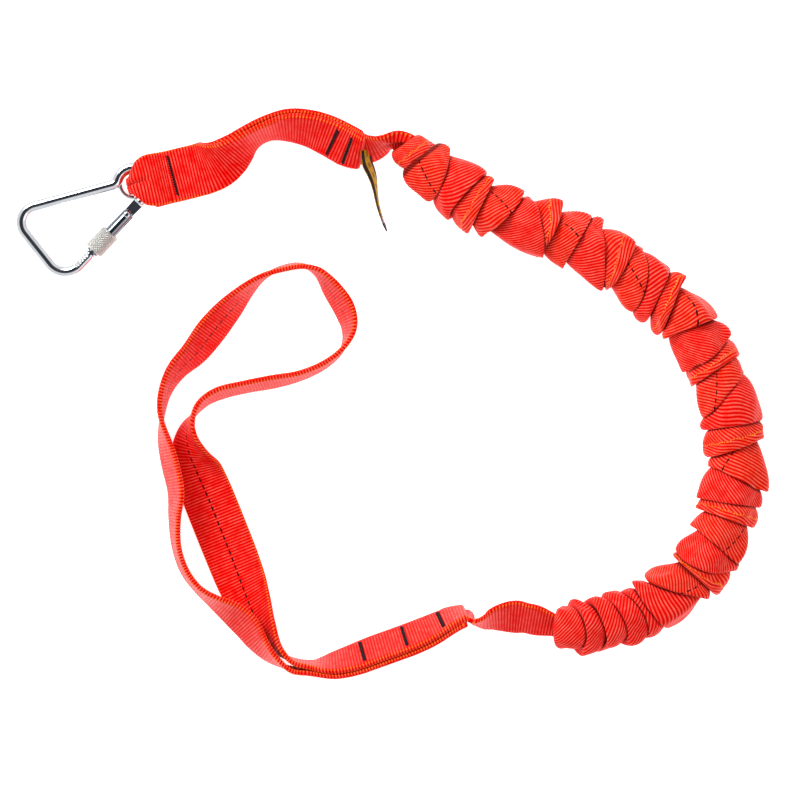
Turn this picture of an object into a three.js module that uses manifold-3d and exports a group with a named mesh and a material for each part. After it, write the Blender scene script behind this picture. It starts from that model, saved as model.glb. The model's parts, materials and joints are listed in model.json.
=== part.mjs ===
// Shock absorbing tool lanyard, laid out on a flat surface.
// A screw-lock snap hook with a captive eye carries a folded webbing leader. The leader runs into a
// gathered tubular sleeve with an elastic core, and the far end is sewn back into a long tool loop.
// Millimetres, +Z up. X and Y are the surface the lanyard lies on, and the origin is the middle of its
// footprint. Where a flexible piece bends, it is divided, and the divisions move on joints.
import * as THREE from "three";
import { mergeVertices } from "three/addons/utils/BufferGeometryUtils.js";
import Module from "manifold-3d";

// ---------------------------------------------------------------- driving dimensions
const WEB_WIDTH = 25;
const WEB_THICK = 2.6;
const GAP = 0.3; // clearance between separate pieces that rest on each other
const PLY_PITCH = WEB_THICK + GAP; // from the middle of one ply to the middle of the next
const SEGMENT = 4; // length of one straight step along a strap

const ROD_R = 3; // snap hook wire
const EYE_R = 8; // captive eye, to the middle of the wire
const ROD_SIDES = 12;
const HOOK_TILT = 3.2; // the hook leans from the raised webbing eye down to the surface, degrees
const EYE_HEIGHT = 6.4;

// The gathered sleeve is divided into sections that slide apart as it stretches. The numbers are the
// gathered folds in each section. The sleeve bends between the two pairs of single folds.
const SLEEVE_FOLDS = [3, 3, 3, 1, 1, 3, 3, 1, 1, 3, 3, 3];
const SLEEVE_CREST = 13.9; // radius at the crest of a fold
const SLEEVE_VALLEY = 11.9; // and between two folds
const CORE_R = 4; // elastic core
const CORE_BORE = 5;
const END_DRAFT = 0.26; // slope of the end faces that lets two sections bend against each other
const END_ROOM = 0.2; // half the space between two sections at their middle

const radians = THREE.MathUtils.degToRad;
const UP = new THREE.Vector3(0, 0, 1);

// ---------------------------------------------------------------- paths for webbing
// A path runs through stations [x, y, z, roll]. Roll turns the webbing about its own length, in degrees:
// 0 is flat with the outer face up, and 90 is on edge with the outer face to the left of travel.
class WebPath {
  constructor(stations) {
    const places = stations.map(([x, y, z]) => new THREE.Vector3(x, y, z));
    const turns = stations.map((s, i) => new THREE.Vector3(i, s[3], 0));
    this.line = new THREE.CatmullRomCurve3(places, false, "centripetal");
    this.line.arcLengthDivisions = 60 * stations.length;
    this.turn = new THREE.CatmullRomCurve3(turns, false, "catmullrom");
    this.length = this.line.getLength();
  }

  // The place, and the directions along, across and out of the outer face, at a distance from the start.
  frameAt(distance) {
    const t = this.line.getUtoTmapping(THREE.MathUtils.clamp(distance / this.length, 0, 1));
    const along = this.line.getTangent(t);
    const left = UP.clone().cross(along).normalize();
    const upward = along.clone().cross(left);
    const roll = radians(this.turn.getPoint(t).y);
    const out = upward.multiplyScalar(Math.cos(roll)).addScaledVector(left, Math.sin(roll));
    const place = this.line.getPoint(t);
    return { place, along, across: out.clone().cross(along), out };
  }

  // The distance along the path at which it comes nearest to a point in plan.
  nearest(x, y) {
    const steps = Math.ceil(this.length * 4);
    let best = 0;
    let least = Infinity;
    for (let i = 0; i <= steps; i++) {
      const { place } = this.frameAt((i / steps) * this.length);
      const apart = Math.hypot(place.x - x, place.y - y);
      if (apart < least) [least, best] = [apart, (i / steps) * this.length];
    }
    return best;
  }
}

// Lays a piece made flat (x along, y across, z out) onto a path.
function layAlong(geometry, path) {
  const positions = geometry.getAttribute("position");
  for (let i = 0; i < positions.count; i++) {
    const [along, across, out] = [positions.getX(i), positions.getY(i), positions.getZ(i)];
    const frame = path.frameAt(along);
    const beyond = along - THREE.MathUtils.clamp(along, 0, path.length);
    frame.place
      .addScaledVector(frame.along, beyond)
      .addScaledVector(frame.across, across)
      .addScaledVector(frame.out, out);
    positions.setXYZ(i, frame.place.x, frame.place.y, frame.place.z);
  }
  return geometry;
}

// A single ply of webbing between two distances on a path. Plies of the same path bend at the same places
// and fold along the same diagonals, so that they can lie against each other.
function ply(path, from, to, offset = 0) {
  const bends = [from];
  for (let at = Math.ceil((from + 1) / SEGMENT) * SEGMENT; at < to - 1; at += SEGMENT) bends.push(at);
  bends.push(to);
  const corners = [[-1, -1], [1, -1], [1, 1], [-1, 1]]; // across and out
  const positions = bends.flatMap((at) =>
    corners.flatMap(([side, face]) => [at, (side * WEB_WIDTH) / 2, offset + (face * WEB_THICK) / 2]),
  );
  const triangles = [];
  const quad = (a, b, c, d) => triangles.push(a, b, c, a, c, d);
  for (let near = 0; near < positions.length / 3 - 4; near += 4) {
    const far = near + 4;
    quad(near, near + 1, far + 1, far);
    quad(near + 1, near + 2, far + 2, far + 1);
    quad(near + 3, far + 3, far + 2, near + 2);
    quad(near, far, far + 3, near + 3);
  }
  const last = positions.length / 3 - 4;
  quad(0, 3, 2, 1);
  quad(last, last + 1, last + 2, last + 3);
  const geometry = new THREE.BufferGeometry();
  geometry.setAttribute("position", new THREE.Float32BufferAttribute(positions, 3));
  geometry.setIndex(triangles);
  layAlong(geometry, path);
  const faceted = geometry.toNonIndexed();
  faceted.computeVertexNormals();
  return faceted;
}

// A row of zigzag stitches that holds two plies together, standing a little proud of the outer one.
const TACK = { along: 1.7, across: 18, proud: 0.8 };
// A bar tack lying on the outermost ply of two, on the side given as 1 or -1.
function barTack(path, at, side) {
  const face = (PLY_PITCH + WEB_THICK) / 2;
  const flat = new THREE.BoxGeometry(TACK.along, TACK.across, TACK.proud, 1, 6, 1);
  return layAlong(flat.translate(at, 0, side * (face + GAP + TACK.proud / 2)), path);
}

// ---------------------------------------------------------------- the lie of the lanyard
const EYE = { x: -123.1, y: 100.8, z: EYE_HEIGHT };

// The leader, from inside the captive eye to the gathered sleeve. Its outer face is the front ply.
const leaderPath = new WebPath([
  [-130.0, 99.4, 5.9, 0],
  [-115.3, 102.3, 6.7, 0],
  [-107.0, 104.0, 6.6, 0],
  [-99.0, 106.0, 5.2, 0],
  [-89.0, 108.7, 5.0, -12],
  [-79.9, 112.1, 9.6, -40],
  [-72.6, 117.4, 12.3, -61],
  [-66.4, 122.9, 12.9, -76],
  [-58.6, 126.9, 12.9, -77],
  [-48.7, 128.4, 12.7, -67],
  [-38.4, 126.9, 12.5, -60],
  [-29.3, 123.4, 12.3, -54],
  [-20.2, 118.8, 12.0, -53],
  [-11.5, 116.2, 12.2, -62],
  [-3.0, 118.0, 13.0, -75],
  [4.5, 121.5, 14.2, -78],
  [10.0, 117.5, 14.4, -70],
]);

const sleevePath = new WebPath([
  [6.2, 119.6, 14.4, 0],
  [18.7, 109.0, 14.4, 0],
  [37.9, 93.9, 14.4, 0],
  [60.0, 83.2, 14.4, 0],
  [83.5, 75.0, 14.4, 0],
  [105.6, 63.4, 14.4, 0],
  [125.5, 49.4, 14.4, 0],
  [142.6, 32.0, 14.4, 0],
  [155.0, 11.4, 14.4, 0],
  [162.6, -10.0, 14.4, 0],
  [164.8, -32.0, 14.4, 0],
  [161.8, -54.7, 14.4, 0],
  [152.8, -75.8, 14.4, 0],
  [137.3, -92.6, 14.4, 0],
  [116.8, -104.4, 14.4, 0],
  [95.5, -110.2, 14.4, 0],
  [79.0, -110.6, 14.4, 0],
]);

// The sewn overlap, as one stack of two plies. Travel is away from the sleeve, and the outer face is the
// rear ply's.
const overlapPath = new WebPath([
  [37.6, -104.9, 12.7, 97],
  [28.3, -108.2, 12.6, 106],
  [19.2, -112.7, 12.5, 112],
  [10.3, -116.5, 12.5, 114],
  [1.0, -119.9, 12.5, 114],
  [-8.2, -123.2, 12.5, 114],
  [-17.3, -126.6, 12.5, 112],
  [-27.5, -129.4, 12.6, 105],
  [-38.0, -130.6, 12.7, 90],
  [-46.0, -129.6, 12.7, 88],
]);

const tailPath = new WebPath([
  [80.5, -110.6, 14.2, 40],
  [67.2, -107.2, 12.6, 54],
  [59.5, -106.1, 12.2, 50],
  [51.0, -106.7, 12.4, 60],
  [43.7, -108.6, 12.8, 76],
  [37.6, -107.6, 12.9, 90],
]);

// The outer arm of the tool loop runs from the overlap to the waist, where both arms stand on edge.
const outerArmStations = [
  [-38.0, -132.0, 12.8, 90],
  [-47.0, -131.2, 12.8, 87],
  [-56.2, -125.6, 12.7, 75],
  [-62.8, -118.7, 12.1, 65],
  [-67.9, -111.6, 11.5, 58],
  [-74.2, -105.4, 11.5, 59],
  [-84.5, -98.4, 12.3, 73],
  [-91.4, -93.0, 12.6, 79],
  [-98.0, -84.2, 12.7, 79],
  [-101.9, -72.5, 12.7, 79],
  [-102.8, -59.4, 12.6, 76],
  [-102.2, -47.0, 12.5, 71],
  [-105.0, -33.0, 12.4, 69],
  [-107.6, -22.0, 12.5, 74],
  [-108.8, -14.0, 12.7, 83],
];

// The head of the loop, from the waist on the outer side round to the waist on the inner side.
const headStations = [
  [-109.0, -7.5, 12.8, 90],
  [-107.2, 1.5, 12.8, 96],
  [-102.0, 11.2, 12.6, 105],
  [-93.0, 20.4, 12.2, 114],
  [-85.3, 30.4, 12.0, 118],
  [-76.7, 40.8, 12.3, 112],
  [-68.0, 50.2, 12.8, 99],
  [-60.0, 56.6, 12.8, 89],
  [-50.6, 60.3, 12.8, 84],
  [-41.6, 61.3, 12.8, 86],
  [-34.2, 58.2, 12.8, 96],
  [-27.6, 50.0, 12.6, 108],
  [-21.6, 40.4, 12.4, 111],
  [-19.4, 31.4, 12.6, 104],
  [-22.4, 22.2, 12.8, 92],
  [-30.7, 14.6, 12.8, 87],
  [-42.8, 9.0, 12.8, 84],
  [-55.7, 6.1, 12.8, 80],
  [-68.6, 3.7, 12.8, 81],
  [-81.2, 0.6, 12.8, 81],
  [-88.6, -3.4, 12.8, 85],
  [-92.8, -8.5, 12.8, 91],
];

const innerArmStations = [
  [-95.6, -15.4, 12.4, 106],
  [-95.6, -26.0, 9.6, 134],
  [-92.0, -38.0, 4.4, 165],
  [-87.0, -50.5, 2.6, 176],
  [-81.8, -63.5, 2.4, 178],
  [-76.6, -76.5, 2.6, 176],
  [-71.4, -89.5, 4.4, 165],
  [-66.0, -101.6, 8.2, 146],
  [-60.0, -112.6, 11.2, 124],
  [-53.6, -121.6, 12.6, 104],
  [-46.4, -127.2, 12.8, 93],
  [-38.0, -129.1, 12.8, 90],
];

const loopPath = new WebPath([...outerArmStations, ...headStations, ...innerArmStations]);

// Where the webbing bends, and the room left there so that the divided solids don't meet.
const NECK_HINGE = { x: -3.0, y: 118.0, room: 3 };
const TAIL_HINGE = { x: 37.6, y: -107.6, room: 2 };
const BASE_HINGE = { x: -38.0, y: -130.6, room: 4 };
const WAIST_HINGE = { x: -100.8, y: -8.0, room: 5 };
const EYE_WIRE = leaderPath.nearest(-115.3, 102.3); // the eye's wire, on the leader path
const EYE_FLEX = EYE_WIRE + 7.2; // and where the folded end flexes
const EYE_FLEX_ROOM = 2.6;

// ---------------------------------------------------------------- solids
const wasm = await Module();
wasm.setup();

function toSolid(geometry) {
  const bare = geometry.clone();
  bare.deleteAttribute("normal");
  bare.deleteAttribute("uv");
  const merged = mergeVertices(bare, 1e-4);
  return new wasm.Manifold(
    new wasm.Mesh({
      numProp: 3,
      vertProperties: merged.getAttribute("position").array,
      triVerts: new Uint32Array(merged.index.array),
    }),
  );
}

function toGeometry(solid) {
  const mesh = solid.getMesh();
  const geometry = new THREE.BufferGeometry();
  geometry.setAttribute("position", new THREE.BufferAttribute(mesh.vertProperties, 3));
  geometry.setIndex(new THREE.BufferAttribute(mesh.triVerts, 1));
  geometry.computeVertexNormals();
  return geometry;
}

// A rod of round section along a flat path, with one facet facing straight out of each side.
class FlatCurve extends THREE.Curve {
  constructor(path) {
    super();
    this.path = path;
  }

  getPoint(t) {
    const { x, y } = this.path.getPoint(t);
    return new THREE.Vector3(x, y, 0);
  }
}

function regularShape(radius, sides) {
  const cornerRadius = radius / Math.cos(Math.PI / sides);
  const corners = Array.from({ length: sides }, (_, i) => {
    const angle = ((i + 0.5) / sides) * 2 * Math.PI;
    return new THREE.Vector2(Math.cos(angle), Math.sin(angle)).multiplyScalar(cornerRadius);
  });
  return new THREE.Shape(corners);
}

function rodAlong(path, radius, steps, sides) {
  const settings = { steps, bevelEnabled: false, extrudePath: new FlatCurve(path) };
  return new THREE.ExtrudeGeometry(regularShape(radius, sides), settings);
}

// ---------------------------------------------------------------- materials
const steel = new THREE.MeshStandardMaterial({ color: 0xb9bec4, roughness: 0.12, metalness: 1 });
const darkSteel = new THREE.MeshStandardMaterial({ color: 0x6f747a, roughness: 0.3, metalness: 1 });
const knurled = new THREE.MeshStandardMaterial({ color: 0xaba7a2, roughness: 0.5, metalness: 1 });
const webbing = new THREE.MeshStandardMaterial({ color: 0xf52a16, roughness: 0.7, metalness: 0 });
const thread = new THREE.MeshStandardMaterial({ color: 0x17141c, roughness: 0.8, metalness: 0 });
const elastic = new THREE.MeshStandardMaterial({ color: 0x2a2a2c, roughness: 0.8, metalness: 0 });
const labelCloth = new THREE.MeshStandardMaterial({ color: 0xd9a916, roughness: 0.6, metalness: 0 });

const lanyard = new THREE.Group();
const joints = {}; // joint name to { pos, axis } in the part's frame, for the record

function add(name, geometry, material, parent = lanyard) {
  const mesh = new THREE.Mesh(geometry, material);
  mesh.name = name;
  parent.add(mesh);
  return mesh;
}

function noteJoint(name, place, axis) {
  joints[name] = { pos: place.toArray(), axis: axis.toArray() };
}

// ---------------------------------------------------------------- snap hook
// Drawn flat about the middle of its captive eye. The gate line is a tangent of the eye, and distances
// along it are measured from the tangent point, towards the nose.
const HOOK = {
  gateHeading: 226.2,
  spineHeading: 14.9,
  spineOffset: 2.4, // how far the spine's line passes from the middle of the eye
  neckR: 4,
  backCorner: 61.6, // along the spine, from beside the eye to the corner before it is rounded
  backR: 8.2,
  noseCorner: 57, // along the gate line, likewise
  noseR: 9.4,
  shoulder: 5, // where the round wire ends and the flat tang starts
  pivot: 12.6,
  noseEnd: 37.9,
};
const GATE = { slot: 2.6, slotDepth: 5, boreR: 1.5, boreDepth: 9, nose: 0.4 };
const TANG = { thick: 2, reach: 2.4 };
const RIVET = { r: 1.1, headR: 1.7, head: 0.5, length: 6.2 };
const TONGUE = { thick: 1.6, width: 2.8, length: 1.8 }; // of the gate, in a slot in the nose
const LOCK = { r: 4.7, boreR: 3.35, length: 12.1, from: 24.2, ringAt: 6, grooveR: 4, groove: 1.9 };
const RING = { inR: 3.2, outR: 3.7, width: 1.2 };
const EYE_BAR = { r: 1, pathR: 6.3, from: 178, to: 276 };

const heading = (degrees) => new THREE.Vector2(Math.cos(radians(degrees)), Math.sin(radians(degrees)));
const gateWay = heading(HOOK.gateHeading);
const gateTangent = heading(HOOK.gateHeading + 90).multiplyScalar(EYE_R);
const onGateLine = (distance) => gateTangent.clone().addScaledVector(gateWay, distance);

function hookPath() {
  const spine = heading(HOOK.spineHeading);
  const spineUp = heading(HOOK.spineHeading + 90);
  const onSpine = (back) =>
    spineUp.clone().multiplyScalar(HOOK.spineOffset).addScaledVector(spine, -back);
  const neckRise = HOOK.spineOffset + HOOK.neckR;
  const neckBack = Math.sqrt((EYE_R + HOOK.neckR) ** 2 - neckRise ** 2);
  const neckCentre = onSpine(neckBack).addScaledVector(spineUp, HOOK.neckR);
  const eyeToNeck = Math.atan2(neckCentre.y, neckCentre.x);

  const path = new THREE.Path();
  const start = onGateLine(HOOK.shoulder);
  path.moveTo(start.x, start.y);
  path.lineTo(gateTangent.x, gateTangent.y);
  path.absarc(0, 0, EYE_R, radians(HOOK.gateHeading + 90 - 360), eyeToNeck, false);
  const neckEnd = radians(HOOK.spineHeading - 90);
  path.absarc(neckCentre.x, neckCentre.y, HOOK.neckR, eyeToNeck - Math.PI, neckEnd, true);
  const back = onSpine(HOOK.backCorner);
  const nose = onGateLine(HOOK.noseCorner);
  roundCorner(path, onSpine(neckBack), back, nose, HOOK.backR);
  roundCorner(path, back, nose, onGateLine(HOOK.noseEnd), HOOK.noseR);
  const end = onGateLine(HOOK.noseEnd);
  path.lineTo(end.x, end.y);
  return path;
}

// Adds the line towards a corner and the arc that rounds it.
function roundCorner(path, before, corner, after, radius) {
  const inWay = corner.clone().sub(before).normalize();
  const outWay = after.clone().sub(corner).normalize();
  const turn = Math.acos(inWay.dot(outWay));
  const side = Math.sign(inWay.cross(outWay));
  const start = Math.atan2(-side * inWay.x, side * inWay.y);
  const inward = new THREE.Vector2(-inWay.y, inWay.x).multiplyScalar(side * radius);
  const centre = corner.clone().addScaledVector(inWay, -radius * Math.tan(turn / 2)).add(inward);
  path.absarc(centre.x, centre.y, radius, start, start + side * turn, side < 0);
}

// A solid drawn on the gate line: x towards the nose, y towards the inside of the hook, z up.
function onGate(geometry) {
  const place = new THREE.Matrix4().makeBasis(
    new THREE.Vector3(gateWay.x, gateWay.y, 0),
    new THREE.Vector3(gateWay.y, -gateWay.x, 0),
    new THREE.Vector3(0, 0, -1),
  );
  place.setPosition(gateTangent.x, gateTangent.y, 0);
  return geometry.applyMatrix4(place);
}

const barrel = (radius, from, to, sides = ROD_SIDES) =>
  new THREE.CylinderGeometry(radius, radius, to - from, sides)
    .rotateZ(-Math.PI / 2)
    .translate((from + to) / 2, 0, 0);
const slab = (from, to, width, thick) =>
  new THREE.BoxGeometry(to - from, width, thick).translate((from + to) / 2, 0, 0);
const crossPin = (radius, at, length, sides = ROD_SIDES) =>
  new THREE.CylinderGeometry(radius, radius, length, sides).rotateX(Math.PI / 2).translate(at, 0, 0);
const gateSolid = (geometry) => toSolid(onGate(geometry));

function eyeBarPath(margin) {
  const path = new THREE.Path();
  path.absarc(0, 0, EYE_BAR.pathR, radians(EYE_BAR.from - margin), radians(EYE_BAR.to + margin), false);
  return path;
}

// The nose has a slot for the gate's tongue, open at its end and towards the inside of the hook.
function makeHookBody() {
  const slotLength = TONGUE.length + GAP;
  const slotWidth = 2 * ROD_R;
  const slotEnd = HOOK.noseEnd - GATE.nose + slotLength;
  const slot = slab(HOOK.noseEnd - GAP, slotEnd, slotWidth, TONGUE.thick + 2 * GAP);
  slot.translate(0, (slotWidth - TONGUE.width) / 2 - GAP, 0);
  return toSolid(rodAlong(hookPath(), ROD_R, 96, ROD_SIDES))
    .add(gateSolid(slab(HOOK.shoulder - 1.5, HOOK.pivot, 5.2, TANG.thick)))
    .add(gateSolid(crossPin(TANG.reach, HOOK.pivot, TANG.thick)))
    .subtract(gateSolid(crossPin(RIVET.r + GAP, HOOK.pivot, 4)))
    .subtract(gateSolid(slot))
    .subtract(toSolid(rodAlong(eyeBarPath(3), EYE_BAR.r + GAP, 16, 8)));
}

function makeGate(tangEnd) {
  const from = HOOK.pivot;
  const to = HOOK.noseEnd - GATE.nose;
  const slotEnd = from + GATE.slotDepth;
  const roundEnd = gateSolid(crossPin(ROD_R, from, 2 * ROD_R));
  return gateSolid(barrel(ROD_R, from, to))
    .add(roundEnd.intersect(gateSolid(barrel(ROD_R, from - 4, from + 4))))
    .add(gateSolid(slab(to - 1, to + TONGUE.length, TONGUE.width, TONGUE.thick)))
    .subtract(gateSolid(slab(from - 4, slotEnd, 8, GATE.slot)))
    .subtract(gateSolid(barrel(GATE.boreR, tangEnd, slotEnd + GATE.boreDepth, 10)))
    .subtract(gateSolid(crossPin(RIVET.r + GAP, from, 8)));
}

function makeLock() {
  const end = LOCK.from + LOCK.length;
  const groove = LOCK.from + LOCK.ringAt;
  const knurl = 0.35;
  const body = gateSolid(barrel(LOCK.r, LOCK.from + knurl, end - knurl, 20))
    .add(gateSolid(barrel(LOCK.r - knurl, LOCK.from, end, 20)));
  return body
    .subtract(gateSolid(barrel(LOCK.boreR, LOCK.from - 1, end + 1, 20)))
    .subtract(gateSolid(barrel(LOCK.grooveR, groove - LOCK.groove / 2, groove + LOCK.groove / 2, 20)));
}

function makeLockRing() {
  const centre = LOCK.from + LOCK.ringAt;
  const [from, to] = [centre - RING.width / 2, centre + RING.width / 2];
  const bore = gateSolid(barrel(RING.inR, from - 1, to + 1, 20));
  return gateSolid(barrel(RING.outR, from, to, 20)).subtract(bore);
}

// The gate's return spring, a coil inside its bore, and the plunger it drives against the tang.
class Coil extends THREE.Curve {
  constructor(radius, pitch, turns, from) {
    super();
    Object.assign(this, { radius, pitch, turns, from });
  }

  getPoint(t) {
    const angle = t * this.turns * 2 * Math.PI;
    const along = this.from + t * this.turns * this.pitch;
    return new THREE.Vector3(along, this.radius * Math.cos(angle), this.radius * Math.sin(angle));
  }
}

function makeSpring(from) {
  const coil = new Coil(0.95, 1, 6, from);
  const settings = { steps: 60, bevelEnabled: false, extrudePath: coil };
  return onGate(new THREE.ExtrudeGeometry(regularShape(0.22, 5), settings));
}

function addHook() {
  const hook = new THREE.Group();
  hook.position.set(EYE.x, EYE.y, EYE.z);
  const reach = heading(HOOK.spineHeading + 195);
  hook.quaternion.setFromAxisAngle(new THREE.Vector3(-reach.y, reach.x, 0), radians(HOOK_TILT));
  lanyard.add(hook);

  const tangEnd = HOOK.pivot + TANG.reach;
  const slotEnd = HOOK.pivot + GATE.slotDepth;
  add("hook_body", toGeometry(makeHookBody()), steel, hook);
  add("eye_bar", rodAlong(eyeBarPath(0), EYE_BAR.r, 14, 8), steel, hook);
  add("gate_barrel", toGeometry(makeGate(tangEnd)), steel, hook);
  const rivet = gateSolid(crossPin(RIVET.r, HOOK.pivot, RIVET.length));
  add("gate_rivet", toGeometry(rivet), darkSteel, hook);
  const plunger = [tangEnd + GAP, slotEnd + 1.2];
  add("gate_plunger", onGate(barrel(1.1, ...plunger, 8)), darkSteel, hook);
  add("gate_spring", makeSpring(slotEnd + 1.9), darkSteel, hook);
  add("lock_sleeve", toGeometry(makeLock()), knurled, hook);
  add("lock_friction_ring", toGeometry(makeLockRing()), elastic, hook);

  hook.updateMatrixWorld(true);
  const place = (distance) => {
    const { x, y } = onGateLine(distance);
    return hook.localToWorld(new THREE.Vector3(x, y, 0));
  };
  const facing = (v) => v.applyQuaternion(hook.quaternion);
  noteJoint("hook_swing", hook.position.clone(), facing(new THREE.Vector3(0, 0, 1)));
  noteJoint("gate_pivot", place(HOOK.pivot), facing(new THREE.Vector3(0, 0, -1)));
  noteJoint("lock_turn", place(LOCK.from), facing(new THREE.Vector3(gateWay.x, gateWay.y, 0)));
}

// ---------------------------------------------------------------- leader
// The folded end: a flat hairpin, drawn edge on and given its width, then narrowed where the webbing
// bunches up to pass through the captive eye.
const FOLD = { tip: -12.2, inner: 4.2, narrow: 2.2 };

function makeEyeFold() {
  const outer = FOLD.inner + WEB_THICK;
  const centre = FOLD.tip + outer;
  const end = EYE_FLEX - EYE_FLEX_ROOM / 2 - EYE_WIRE;
  const shape = new THREE.Shape();
  shape.moveTo(end, PLY_PITCH / 2 + WEB_THICK / 2);
  shape.bezierCurveTo(end - 0.8, PLY_PITCH, 4.4, outer, centre, outer);
  shape.absarc(centre, 0, outer, Math.PI / 2, 1.5 * Math.PI, false);
  shape.bezierCurveTo(4.4, -outer, end - 0.8, -PLY_PITCH, end, -PLY_PITCH / 2 - WEB_THICK / 2);
  shape.lineTo(end, -GAP / 2);
  shape.bezierCurveTo(end - 0.8, -GAP / 2, 4.4, -FOLD.inner, centre, -FOLD.inner);
  shape.absarc(centre, 0, FOLD.inner, 1.5 * Math.PI, Math.PI / 2, true);
  shape.bezierCurveTo(4.4, FOLD.inner, end - 0.8, GAP / 2, end, GAP / 2);
  const settings = { depth: 2, steps: 4, bevelEnabled: false, curveSegments: 8 };
  const hairpin = new THREE.ExtrudeGeometry(shape, settings).translate(0, 0, -1).rotateX(Math.PI / 2);
  const positions = hairpin.getAttribute("position");
  for (let i = 0; i < positions.count; i++) {
    const spread = THREE.MathUtils.smoothstep(positions.getX(i), FOLD.tip, 4);
    const half = THREE.MathUtils.lerp(FOLD.narrow, WEB_WIDTH / 2, spread ** 1.6);
    positions.setY(i, positions.getY(i) * half);
  }
  return layAlong(hairpin.translate(EYE_WIRE, 0, 0), leaderPath);
}

function addLeader() {
  const front = PLY_PITCH / 2;
  const start = EYE_FLEX + EYE_FLEX_ROOM / 2;
  const hem = Math.round(leaderPath.nearest(-14.4, 116.6) / SEGMENT) * SEGMENT; // at a bend of both plies
  const neck = leaderPath.nearest(NECK_HINGE.x, NECK_HINGE.y);
  add("webbing_eye_fold", makeEyeFold(), webbing);
  add("leader_front_ply", ply(leaderPath, start, hem, front), webbing);
  add("leader_rear_ply", ply(leaderPath, start, neck - NECK_HINGE.room / 2, -front), webbing);
  add("neck_webbing", ply(leaderPath, neck + NECK_HINGE.room / 2, neck + 7, -front), webbing);
  [[-105.4, 104.4], [-26.6, 122.2], [-19.4, 118.4]].forEach(([x, y], i) => {
    add(`leader_bar_tack_${i + 1}`, barTack(leaderPath, leaderPath.nearest(x, y), 1), thread);
  });
  const flex = leaderPath.frameAt(EYE_FLEX);
  noteJoint("eye_flex", flex.place, flex.across);
  noteJoint("neck_flex", leaderPath.frameAt(neck).place, UP.clone());
}

// The sewn-in label, held at the hem and standing on edge beside the neck.
const LABEL = { width: 12, thick: 0.7 };
const labelPath = new WebPath([
  [-12.6, 110.2, 11.0, 64],
  [-9.8, 103.4, 9.4, 68],
  [-7.2, 95.5, 7.6, 76],
  [-4.8, 87.0, 6.6, 80],
  [-1.6, 78.2, 6.4, 80],
]);

function addLabel() {
  const flat = new THREE.BoxGeometry(labelPath.length, LABEL.width, LABEL.thick, 9, 1, 1);
  add("label", layAlong(flat.translate(labelPath.length / 2, 0, 0), labelPath), labelCloth);
  noteJoint("label_flap", labelPath.frameAt(0).place, UP.clone());
}

// ---------------------------------------------------------------- gathered sleeve and elastic core
const FOLD_PITCH = sleevePath.length / SLEEVE_FOLDS.reduce((sum, count) => sum + count);
const CORE_STEPS = 4;

// Half outline of one section from end to end, with the elastic core's bore along its middle.
function sectionOutline(folds) {
  const length = folds * FOLD_PITCH;
  const slope = (radius) => END_ROOM + radius * END_DRAFT;
  const shoulder = SLEEVE_VALLEY - 1.5;
  const points = [CORE_BORE, shoulder].map((radius) => new THREE.Vector2(radius, slope(radius)));
  for (let fold = 0; fold < folds; fold++) {
    if (fold > 0) points.push(new THREE.Vector2(SLEEVE_VALLEY, FOLD_PITCH * fold));
    points.push(new THREE.Vector2(SLEEVE_CREST, FOLD_PITCH * (fold + 0.5)));
  }
  points.push(new THREE.Vector2(shoulder, length - slope(shoulder)));
  for (let step = CORE_STEPS; step >= 0; step--) {
    const along = THREE.MathUtils.lerp(slope(CORE_BORE), length - slope(CORE_BORE), step / CORE_STEPS);
    points.push(new THREE.Vector2(CORE_BORE, along));
  }
  return points;
}

function coreOutline(length) {
  const taper = END_ROOM + CORE_R * END_DRAFT;
  const points = [new THREE.Vector2(0, END_ROOM)];
  for (let step = 0; step <= CORE_STEPS; step++) {
    points.push(new THREE.Vector2(CORE_R, THREE.MathUtils.lerp(taper, length - taper, step / CORE_STEPS)));
  }
  points.push(new THREE.Vector2(0, length - END_ROOM));
  return points;
}

function turned(outline, sides, from) {
  const lathe = new THREE.LatheGeometry(outline, sides).rotateZ(-Math.PI / 2);
  return layAlong(lathe.translate(from, 0, 0), sleevePath);
}

function addSleeve() {
  let from = 0;
  SLEEVE_FOLDS.forEach((folds, i) => {
    const number = String(i + 1).padStart(2, "0");
    add(`sleeve_section_${number}`, turned(sectionOutline(folds), 14, from), webbing);
    add(`elastic_core_${number}`, turned(coreOutline(folds * FOLD_PITCH), 8, from), elastic);
    const frame = sleevePath.frameAt(from);
    noteJoint(`sleeve_boundary_${number}`, frame.place, frame.along);
    from += folds * FOLD_PITCH;
  });
}

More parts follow.
